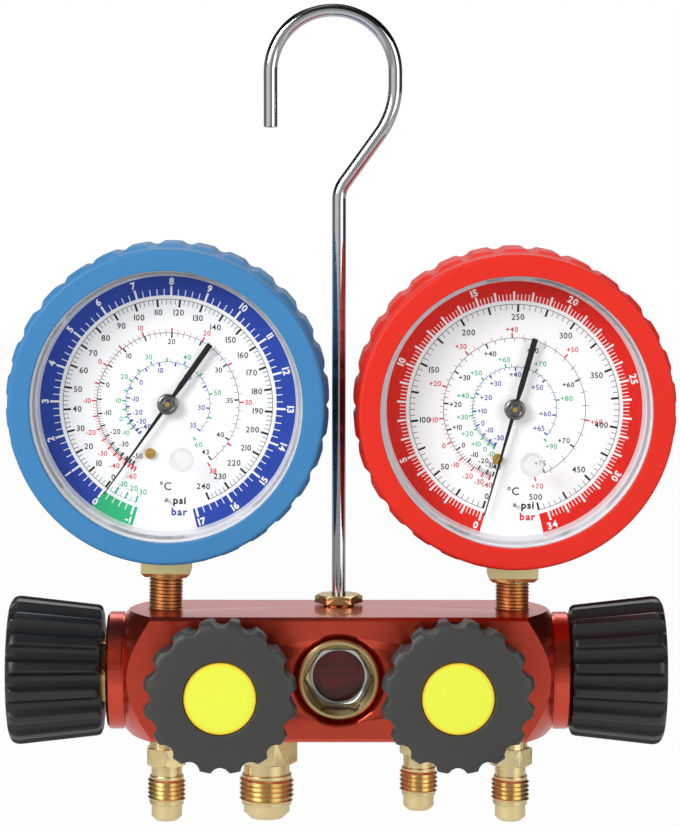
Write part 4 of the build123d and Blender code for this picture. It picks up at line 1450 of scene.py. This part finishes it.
@dataclass
class Dial:
    """A gauge's white plate with its printed scales."""

    shop: Workshop
    patterns: Patterns
    letters: Lettering
    name: str
    face: Placing
    scale: Scale
    inks: dict[str, Material]
    ring_ink: str
    back: float = 8.4
    front: float = 9.0
    plate: Spot = (1.5, 38.6)
    band: Spot = (31.0, 36.5)
    number_r: float = 35.05
    number_height: float = 1.95
    line: Spot = (29.8, 29.95)
    mark_edge: float = 29.9
    pin_drop: float = 27.5

    def sheet(self, level: float = 0.01, thick: float = 0.05) -> Print:
        """An empty print.

        Args:
            level: how far its middle stands off the plate.
            thick: its thickness.

        Returns:
            The print.
        """
        return Print(self.letters, self.patterns.marks, self.front + level, thick)

    def ring(self) -> dict[str, Print]:
        """The coloured ring with its white pressure scale, in bar.

        Returns:
            One print for each ink.
        """
        scale = self.scale
        ring, white = self.sheet(0.02, 0.06), self.sheet(0.05, 0.06)
        below_zero = scale.low_bar < 0
        ring.band(*self.band, scale.turn(0) if below_zero else scale.ring_start, scale.ring_end)
        made = {f"ring_{self.ring_ink}": ring, "white": white}
        if below_zero:
            made["green"] = self.sheet(0.02, 0.06)
            made["green"].band(*self.band, scale.ring_start, scale.turn(0))
        for fifth in range(scale.low_bar * 5, scale.top_bar * 5 + 1):
            reach, width = (32.8, 0.25) if fifth % 5 else (33.6, 0.6)
            white.tick(scale.turn(fifth / 5), self.band[0], reach, width)
        for bar in scale.bar_labels:
            turn = min(max(scale.turn(bar), scale.ring_start + 2.7), scale.ring_end - 2.9)
            tilt = 180 - turn if abs(turn - 180) < 125 else 360 - turn
            if 179 < abs(tilt) < 325:
                tilt += 180
            white.write(str(bar), spoke(turn, self.number_r), self.number_height, BOLD, tilt)
        return made

    def pressure(self, black: Print) -> None:
        """The black pressure scale, in psi.

        Args:
            black: the print that it goes into.
        """
        scale = self.scale
        black.band(*self.line, scale.turn(0), scale.turn(scale.top_psi / PSI_PER_BAR))
        for psi in range(0, scale.top_psi + 1, scale.fine_psi):
            start, width = (28.4, 0.16) if psi % scale.bold_psi else (27.7, 0.6)
            turn = scale.turn(psi / PSI_PER_BAR)
            black.tick(turn, start, self.mark_edge, width)
            if psi % scale.label_psi == 0:
                black.label(str(psi), turn, 27.25, -1, 1.7)

    def vacuum(self, green: Print) -> None:
        """The short green scale below zero, in inches of mercury.

        Args:
            green: the print that it goes into.
        """
        scale = self.scale
        green.band(*self.line, scale.turn(FULL_VACUUM), scale.turn(0))
        for inch in range(0, 31, 5):
            start, width = (28.6, 0.16) if inch % 10 else (27.9, 0.5)
            turn = scale.turn(-inch * BAR_PER_INCH)
            green.tick(turn, start, self.mark_edge, width)
            if inch in (10, 20, 30):
                green.label(str(-inch), turn - 1.5, 27.6, -1, 1.6)

    def temperatures(self, vapour: Vapour, sheet: Print) -> None:
        """One temperature scale.

        Args:
            vapour: the scale.
            sheet: the print that it goes into.
        """
        first, last = vapour.labels[0], vapour.labels[-1]
        floor = self.scale.turn(self.scale.low_bar)
        circle, side = vapour.circle, vapour.side
        shown_at = -99.0
        for celsius in range(first, last + 1):
            turn = self.scale.turn(vapour.bar(celsius))
            bold = celsius % self.scale.bold_celsius == 0 or celsius in vapour.labels
            fine = celsius % vapour.step == 0 and turn - shown_at > 1.0
            if turn < floor or not (bold or fine):
                continue
            shown_at = turn
            part, width = (1.0, 0.45) if bold else (0.75, 0.14)
            sheet.tick(turn, circle, circle + side * vapour.reach * part, width)
            if celsius in vapour.labels:
                text = f"{self.scale.plus if celsius > 0 else ''}{celsius}"
                sheet.label(text, turn, circle + side * (vapour.reach + 0.25), side, 1.5)
        if side < 0:
            start, end = (self.scale.turn(vapour.bar(celsius)) for celsius in (first, last))
            sheet.band(circle - 0.07, circle + 0.07, max(start, floor) - 0.2, end)

    def build(self) -> None:
        """Build the plate, its stop pin and every print."""
        node = f"{self.name}_gauge_dial"
        hole, rim = self.plate
        plate = lathe([(hole, self.back), (rim, self.back), (rim, self.front),
                       (hole, self.front)], 160)
        self.shop.fit(f"{self.name}_dial_plate", self.face.set(plate), self.inks["paper"],
                      "dial_white", node)
        pin = lathe(rounded([(0.0, self.back, 0.0), (0.5, self.back, 0.0), (0.5, 11.2, 0.2),
                             (0.0, 11.2, 0.0)]), 32)
        self.shop.fit(f"{self.name}_stop_pin", self.face.shifted(up=-self.pin_drop).set(pin),
                      self.inks["pin"], "zinc_steel", node)
        sheets = {ink: self.sheet() for ink in ("black", "red", "green", "blue")}
        self.pressure(sheets["black"])
        sheets["black"].write("°C", (-0.3, -23.6), 2.3, PLAIN)
        sheets["black"].write("psi", (3.8, -27.6), 2.1, BOLD)
        if self.scale.low_bar < 0:
            self.vacuum(sheets["green"])
        for vapour in self.scale.vapours:
            self.temperatures(vapour, sheets[vapour.ink])
        sheets[self.ring_ink].write("bar", (3.8, -30.9), 2.1, BOLD)
        for kind, prints in (("band", self.ring()), ("scale", sheets)):
            for ink, sheet in prints.items():
                self.shop.fit(f"{self.name}_dial_{kind}_{ink}", self.face.set(sheet.mesh()),
                              self.inks[ink], "dial_white")


# How far below a gauge's middle its threaded stub ends.
STUB_TOP = 50.5


@dataclass
class GaugeHead:
    """One gauge: boot, case, bezel, lens, pointer, socket and the movement inside."""

    shop: Workshop
    patterns: Patterns
    name: str
    face: Placing
    seat: Placing
    rubber_slot: str
    finishes: dict[str, Material]
    stub_length: float
    rest: float
    scallops: int = 30
    scallop_r: float = 2.9
    scallop_centre: float = 47.95
    stub_r: float = 4.95
    stub_pitch: float = 1.0
    blade_levels: Spot = (10.9, 11.3)
    blade_half: tuple[Spot, ...] = (
        (31.6, 0.16), (12.0, 0.36), (2.6, 0.55), (-2.6, 0.5), (-6.4, 0.8), (-21.0, 0.85),
    )
    boot_profile: tuple[Point, ...] = (
        (32.0, -12.0, 0.6), (46.0, -12.0, 2.6), (46.0, 12.4, 0.8), (44.7, 14.4, 0.8),
        (44.7, 23.0, 1.3), (38.5, 23.0, 0.4), (38.5, 20.2, 0.0), (40.05, 20.2, 0.0),
        (40.05, -10.05, 0.0), (32.0, -10.05, 0.3),
    )
    hub_profile: tuple[Point, ...] = (
        (0.75, 9.98, 0.0), (3.0, 9.98, 0.1), (3.0, 11.9, 0.4), (2.4, 12.25, 0.15),
        (2.0, 12.25, 0.15), (1.8, 11.95, 0.1), (1.3, 11.95, 0.1), (1.15, 12.15, 0.1),
        (0.75, 12.15, 0.0),
    )

    def piece(
        self, name: str, mesh: Mesh, finish: str, slot: str, node: str,
        body: str = "manifold", angle: float = 30.0,
    ) -> None:
        """Fit one piece of this gauge.

        Args:
            name: the piece's name, after the gauge's.
            mesh: its mesh, in its place.
            finish: which of the gauge's finishes it has.
            slot: the record's material slot.
            node: the CAD node that it stands for, after the gauge's name.
            body: the body that it rides on.
            angle: edges bent by more than this many degrees stay sharp.
        """
        self.shop.fit(f"{self.name}_{name}", mesh, self.finishes[finish], slot,
                      f"{self.name}_gauge_{node}", body=body, angle=angle)

    def socket(self) -> None:
        """Build the brass socket with the thread that goes into the block."""
        root = self.stub_r - 0.65 * self.stub_pitch
        mesh = turned_down(copied(f"{self.name}_gauge_socket"), self.seat,
                           (-inf, self.stub_length + 0.02), (root, self.stub_r + 0.15), root)
        ridge = self.patterns.screw(self.stub_r, self.stub_pitch, self.stub_length + 2.0)
        self.piece("socket_squared", mesh, "socket", "brass", "socket", angle=20.0)
        self.piece("socket_thread", self.seat.shifted(out=-2.0).set(ridge), "stub", "brass",
                   "socket")

    def blade(self) -> Mesh:
        """The pointer's blade: a needle ahead of the hub and a flat bar behind it.

        Returns:
            The blade's mesh, in the gauge's own millimetres.
        """
        other_half = [(along, -across) for along, across in reversed(self.blade_half)]
        outline = [*self.blade_half, *other_half]
        turn = radians(self.rest)
        shape = bmesh.new()
        rings = [
            [shape.verts.new((-sin(turn) * along - cos(turn) * across,
                              -cos(turn) * along + sin(turn) * across, level))
             for along, across in outline]
            for level in self.blade_levels
        ]
        for ring in rings:
            shape.faces.new(ring)
        for index, (low, high) in enumerate(zip(*rings)):
            shape.faces.new((rings[0][index - 1], low, high, rings[1][index - 1]))
        bmesh.ops.recalc_face_normals(shape, faces=shape.faces)
        bmesh.ops.triangulate(shape, faces=[face for face in shape.faces if len(face.verts) > 4])
        return formed(shape, "blade", outward=False)

    def build(self) -> None:
        """Build every part of the head."""
        boot = self.patterns.fluted(lathe(rounded(self.boot_profile), 480), self.scallops,
                                    self.scallop_r, self.scallop_centre, 0.35)
        self.piece("boot", self.face.set(boot), "rubber", self.rubber_slot, "boot", angle=50.0)
        rows = (
            ("case_cup", "case", "case", "case_black", "manifold"),
            ("bezel_ring", "bezel", "bezel", "bezel_white", "manifold"),
            ("lens_pane", "lens", "lens", "clear_lens", "manifold"),
            ("lens_button", "lens_plug", "plug", "plug_clear", f"{self.name}_lens_plug"),
            ("zero_screw_slotted", "zero_screw", "screw", "brass", f"{self.name}_zero_screw"),
        )
        for name, node, finish, slot, body in rows:
            self.piece(name, copied(f"{self.name}_gauge_{node}"), finish, slot, node, body)
        self.socket()
        body = f"{self.name}_pointer"
        self.piece("pointer_blade", self.face.set(self.blade()), "pointer", "pointer_black",
                   "pointer", body)
        hub = lathe(rounded(self.hub_profile), 96)
        self.piece("pointer_hub", self.face.set(hub), "hub", "zinc_steel", "pointer", body)
        for part in ("movement_frame", "pinion", "sector", "link"):
            self.shop.dress(f"{self.name}_gauge_{part}", self.finishes["screw"])
        self.shop.dress(f"{self.name}_gauge_bourdon_tube", self.finishes["bronze"])


@dataclass(frozen=True)
class Lamp:
    """A soft square lamp: where it is, how wide, how bright and its name."""

    name: str
    place: Point
    width: float
    power: float


WHITE = (1.0, 1.0, 1.0, 1.0)
WALLS = (
    (0.0, 1.0), (0.06, 0.9), (0.1, 0.25), (0.28, 0.2), (0.305, 0.85), (0.36, 1.0),
    (0.455, 0.95), (0.475, 0.55), (0.505, 0.5), (0.54, 0.2), (0.57, 0.2), (0.585, 0.75),
    (0.6, 0.7), (0.62, 0.08), (0.92, 0.05), (0.955, 0.9), (1.0, 1.0),
)
ROOF = (
    (0.0, 0.5), (0.3, 0.8), (0.42, 1.0), (0.54, 1.0), (0.62, 0.35), (0.68, 0.05), (0.9, 0.06),
    (1.0, 0.5),
)
FLOOR_HALF, FLOOR_LEVEL = 6.0, -0.49


@dataclass(frozen=True)
class Studio:
    """The pale room, its lamps and the camera, in metres."""

    target: Point = (0.0, -0.01, -0.12)
    eye: Point = (-0.000714, -0.95126, -0.02804)
    pitch: float = 0.0907
    yaw: float = 0.003
    roll: float = 0.0011
    lens: float = 143.1
    lamps: tuple[Lamp, ...] = (
        Lamp("key_lamp", (-0.8, -0.8, 0.45), 0.65, 14.5),
        Lamp("fill_lamp", (0.9, -0.8, 0.1), 0.9, 5.5),
        Lamp("back_lamp", (0.1, 0.8, 0.7), 0.9, 5.0),
    )

    def camera(self) -> None:
        """Set up the camera."""
        forward = Vector(
            (sin(self.yaw) * cos(self.pitch), cos(self.yaw) * cos(self.pitch), -sin(self.pitch))
        )
        level = forward.cross(Vector((0, 0, 1))).normalized()
        above = level.cross(forward)
        right = level * cos(self.roll) + above * sin(self.roll)
        up = above * cos(self.roll) - level * sin(self.roll)
        data = bpy.data.cameras.new("camera")
        data.sensor_fit = "VERTICAL"
        data.sensor_height = 36.0
        data.lens = self.lens
        camera = bpy.data.objects.new("camera", data)
        turn = Matrix([[right[i], up[i], -forward[i]] for i in range(3)]).to_4x4()
        camera.matrix_world = Matrix.Translation(self.eye) @ turn
        bpy.context.scene.collection.objects.link(camera)
        bpy.context.scene.camera = camera

    def light(self) -> None:
        """Hang the lamps."""
        for lamp in self.lamps:
            data = bpy.data.lights.new(lamp.name, "AREA")
            data.shape = "SQUARE"
            data.size = lamp.width
            data.energy = lamp.power
            item = bpy.data.objects.new(lamp.name, data)
            away = Vector(lamp.place) - Vector(self.target)
            turn = away.to_track_quat("Z", "Y").to_matrix().to_4x4()
            item.matrix_world = Matrix.Translation(lamp.place) @ turn
            bpy.context.scene.collection.objects.link(item)

    def ramp(self, graph: Graph, factor: Socket, stops: Iterable[Spot]) -> Socket:
        """Add a ramp of greys.

        Args:
            graph: the world's graph.
            factor: what runs along the ramp.
            stops: place and brightness of each stop.

        Returns:
            The ramp's socket.
        """
        node = graph.put("ShaderNodeValToRGB", {0: factor})
        band = node.color_ramp
        for index, (place, value) in enumerate(stops):
            stop = band.elements[index] if index < 2 else band.elements.new(place)
            stop.position = place
            stop.color = (value, value, value, 1.0)
        return node.outputs[0]

    def room(self) -> None:
        """Make the world: white behind, with panels and dark gaps for bright metal to show."""
        world = bpy.data.worlds.new("studio")
        bpy.context.scene.world = world
        graph = cleared(world)
        way = graph.get("ShaderNodeTexCoord", outlet="Generated")
        x, y, z = graph.put("ShaderNodeSeparateXYZ", {0: way}).outputs
        around = graph.over(graph.work("ARCTAN2", x, graph.times(y, -1.0)), 2 * pi)
        walls = self.ramp(graph, graph.plus(around, 0.5), WALLS)
        roof = self.ramp(graph, graph.spread(z, 0.0, 1.0, start=-1.0), ROOF)
        shine = graph.get("ShaderNodeMix", {0: 1.0, 6: walls, 7: roof}, 2, data_type="RGBA",
                          blend_type="MULTIPLY")
        mirror, plain, seen = (
            graph.get("ShaderNodeBackground", {0: colour, 1: strength})
            for colour, strength in ((shine, 1.0), (WHITE, 0.52), (WHITE, 1.0))
        )
        rays = graph.put("ShaderNodeLightPath").outputs
        through = graph.most(rays["Is Camera Ray"], rays["Is Transmission Ray"])
        whole = graph.either(through, graph.either(rays["Is Glossy Ray"], plain, mirror), seen)
        graph.put("ShaderNodeOutputWorld", {0: whole})

    def floor(self) -> None:
        """Lay the pale floor well under the hanging set."""
        data = bpy.data.meshes.new("floor")
        corners = ((-1, -1), (1, -1), (1, 1), (-1, 1))
        points = [(FLOOR_HALF * x, FLOOR_HALF * y, FLOOR_LEVEL) for x, y in corners]
        data.from_pydata(points, [], [(0, 1, 2, 3)])
        item = bpy.data.objects.new("floor", data)
        bpy.context.scene.collection.objects.link(item)
        material = bpy.data.materials.new("pale_floor")
        graph = cleared(material)
        grain = graph.noise(graph.get("ShaderNodeTexCoord", outlet="Object"), 3.0, 2.0)
        tone = graph.blend(grain, (0.6, 0.6, 0.6, 1.0), (0.66, 0.66, 0.66, 1.0))
        matt = graph.get("ShaderNodeBsdfDiffuse", {0: tone})
        glow = graph.get("ShaderNodeEmission", {0: WHITE, 1: 1.0})
        rays = graph.put("ShaderNodeLightPath").outputs
        seen = graph.most(rays["Is Camera Ray"], rays["Is Transmission Ray"])
        share = graph.plus(graph.times(seen, 0.97), graph.times(rays["Is Glossy Ray"], 0.2))
        graph.put("ShaderNodeOutputMaterial", {0: graph.either(share, matt, glow)})
        data.materials.append(material)

    def build(self) -> None:
        """Build the whole room."""
        self.camera()
        self.light()
        self.room()
        self.floor()
        bpy.context.scene.view_settings.view_transform = "Standard"


def make_knobs(shop: Workshop, patterns: Patterns, stand: Stand) -> None:
    """Build the four knobs and dress the stems, plugs and screws.

    Args:
        shop: where the pieces are set.
        patterns: the geometry trees.
        stand: the set's main places.
    """
    side_shell = Moulding("side_knob_plastic", paint(26, 27, 27), paint(18, 18, 19), 0.36,
                          1.5, 0.015).make()
    front_shell = Moulding("front_knob_plastic", paint(56, 57, 54), paint(46, 47, 45), 0.48,
                           1.5, 0.02, 0.4).make()
    # Each disc's second, deeper colour is painted shade for its rim.
    yellow = (paint(214, 222, 66), paint(236, 176, 34), "yellow_disc", front_shell, "grey_knob")
    blue = (paint(44, 108, 190), paint(28, 76, 150), "blue_disc", side_shell, "black_knob")
    red = (paint(214, 40, 34), paint(160, 24, 24), "red_disc", side_shell, "black_knob")
    rows = (
        ("low", stand.side_mouth(-1), 1.6, blue),
        ("high", stand.side_mouth(1), 0.3, red),
        ("vacuum", stand.front_mouth(-32.9), 3.4, yellow),
        ("charging", stand.front_mouth(32.9), 3.4, yellow),
    )
    brass = Metal("stem_brass", *BRASS, 0.24, fineness=2.0).make()
    zinc = Metal("zinc_plate", paint(190, 194, 198), paint(150, 155, 160), 0.32).make()
    for name, mouth, start, looks in rows:
        Knob(shop, patterns, name, mouth.shifted(out=start), *looks).build()
        for part, finish in (("stem", brass), ("plug", brass), ("knob_screw", zinc)):
            shop.dress(f"{name}_valve_{part}", finish)


def make_ports(shop: Workshop, patterns: Patterns, stand: Stand) -> None:
    """Build the four hose connections.

    Args:
        shop: where the pieces are set.
        patterns: the geometry trees.
        stand: the set's main places.
    """
    # Crest radius, nose radius and pitch of the two flare sizes.
    quarter, three_eighths = (5.556, 4.45, 1.27), (7.94, 6.7, 1.411)
    rows = (
        ("low_side_port", -50.0, quarter, 12.8, 8.5),
        ("vacuum_port", -20.9, three_eighths, 12.3, 8.9),
        ("charging_port", 23.3, quarter, 10.3, 8.1),
        ("high_side_port", 50.0, quarter, 12.8, 8.5),
    )
    for name, x, thread, start, length in rows:
        seat = stand.port_seat(x)
        FlarePort(shop, patterns, name, seat, *thread, start, length).build()


def make_inks() -> dict[str, Material]:
    """Make the finishes of the dials.

    Returns:
        The plate's enamel, the pin's steel and every ink.
    """
    inks = {
        "paper": Moulding("dial_enamel", paint(247, 248, 248), paint(243, 244, 245), 0.5, 1.0,
                          0.004, 0.3).make(),
        "pin": Metal("pin_steel", paint(186, 186, 182), paint(150, 150, 148), 0.3).make(),
    }
    rows = (
        ("white", "white_ink", (244, 244, 246), (238, 238, 242)),
        ("black", "black_ink", (30, 30, 32), (44, 44, 46)),
        ("red", "red_ink", (214, 34, 44), (222, 54, 62)),
        ("green", "green_ink", (44, 176, 116), (54, 182, 124)),
        ("blue", "blue_ink", (44, 66, 158), (54, 76, 166)),
        ("ring_red", "ring_red", (226, 38, 26), (218, 32, 22)),
        ("ring_blue", "ring_blue", (42, 72, 166), (38, 66, 160)),
    )
    for ink, name, colour, shade in rows:
        finish = Moulding(name, paint(*colour), paint(*shade), 0.5, depth=0.001, gloss=0.2)
        inks[ink] = finish.make()
    return inks


def make_gauges(shop: Workshop, patterns: Patterns, stand: Stand) -> None:
    """Build both gauges with their dials.

    Args:
        shop: where the pieces are set.
        patterns: the geometry trees.
        stand: the set's main places.
    """
    letters, inks = Lettering(), make_inks()
    shared = (
        ("case", Moulding("black_lacquer", paint(28, 28, 30), paint(20, 20, 22), 0.35)),
        ("bezel", Moulding("bezel_lacquer", paint(220, 221, 225), paint(214, 216, 221), 0.3,
                           1.0, 0.004)),
        ("lens", Clear("clear_lens", paint(60, 62, 64), 0.025, 0.02)),
        ("plug", Clear("clear_button", paint(206, 208, 205), 0.32, 0.1)),
        ("screw", Metal("screw_brass", paint(238, 200, 110), paint(196, 150, 70), 0.34)),
        ("bronze", Metal("tube_bronze", paint(196, 134, 84), paint(150, 92, 54), 0.3)),
        ("pointer", Moulding("pointer_lacquer", paint(16, 16, 17), paint(12, 12, 12), 0.3)),
    )
    finishes = {name: finish.make() for name, finish in shared}
    blue, red = (paint(58, 122, 172), paint(52, 116, 166)), (paint(212, 38, 22), paint(206, 32, 18))
    rows = (
        ("low", -48.8, 60.3, 1.2, 35.4, LOW_SCALE, blue, "blue"),
        ("high", 50.1, 58.9, -0.2, 15.7, HIGH_SCALE, red, "red"),
    )
    for name, x, rise, lean, rest, scale, colours, ink in rows:
        turn = radians(lean)
        right, up = (cos(turn), 0.0, -sin(turn)), (sin(turn), 0.0, cos(turn))
        face = Placing((stand.rod_x + x, stand.axis_y, stand.top + rise), right, up)
        reach = rise / up[2]
        foot = Vector(face.origin) - Vector(up) * reach
        seat = Placing(tuple(foot), right, tuple(Vector(up).cross(Vector(right))))
        own = (
            ("rubber", Moulding(f"{ink}_rubber", *colours, 0.5, 1.2, 0.03, 0.25)),
            ("hub", Metal(f"{name}_hub_steel", paint(132, 134, 130), paint(90, 92, 90), 0.3,
                          Grain.TURNED, (0.0, 1.0, 0.0), face.origin, 5.0, 0.02)),
            ("socket", Metal(f"{name}_socket_brass", paint(246, 236, 182), paint(236, 220, 160),
                             0.42, fineness=2.0)),
            # The darker, redder inner colour within 4.64 mm of the axis is painted shade in the
            # thread's roots.
            ("stub", Metal(f"{name}_stub_brass_root_shade", paint(244, 204, 158), paint(222, 172, 124),
                           0.38, axis=up, centre=face.origin, fineness=2.0,
                           inner=paint(164, 104, 66), inner_r=4.64)),
        )
        finishes |= {part: finish.make() for part, finish in own}
        GaugeHead(shop, patterns, name, face, seat, f"{ink}_rubber", dict(finishes),
                  reach - STUB_TOP, rest - lean).build()
        Dial(shop, patterns, letters, name, face, scale, inks, ink).build()


def main() -> None:
    """Build the room and then the set, part by part."""
    logging.basicConfig(level=logging.INFO, format="%(name)s %(message)s")
    Studio().build()
    shop = Workshop([])
    stand = Stand()
    patterns = Patterns(fluting(), threading(), marking(), tubing())
    HangingHook(shop, patterns.rod, stand.rod_x).build()
    ValveBlock(shop, stand).build()
    make_knobs(shop, patterns, stand)
    make_ports(shop, patterns, stand)
    make_gauges(shop, patterns, stand)
    log.info("%d pieces", len(shop.count))


if __name__ == "__main__":
    main()
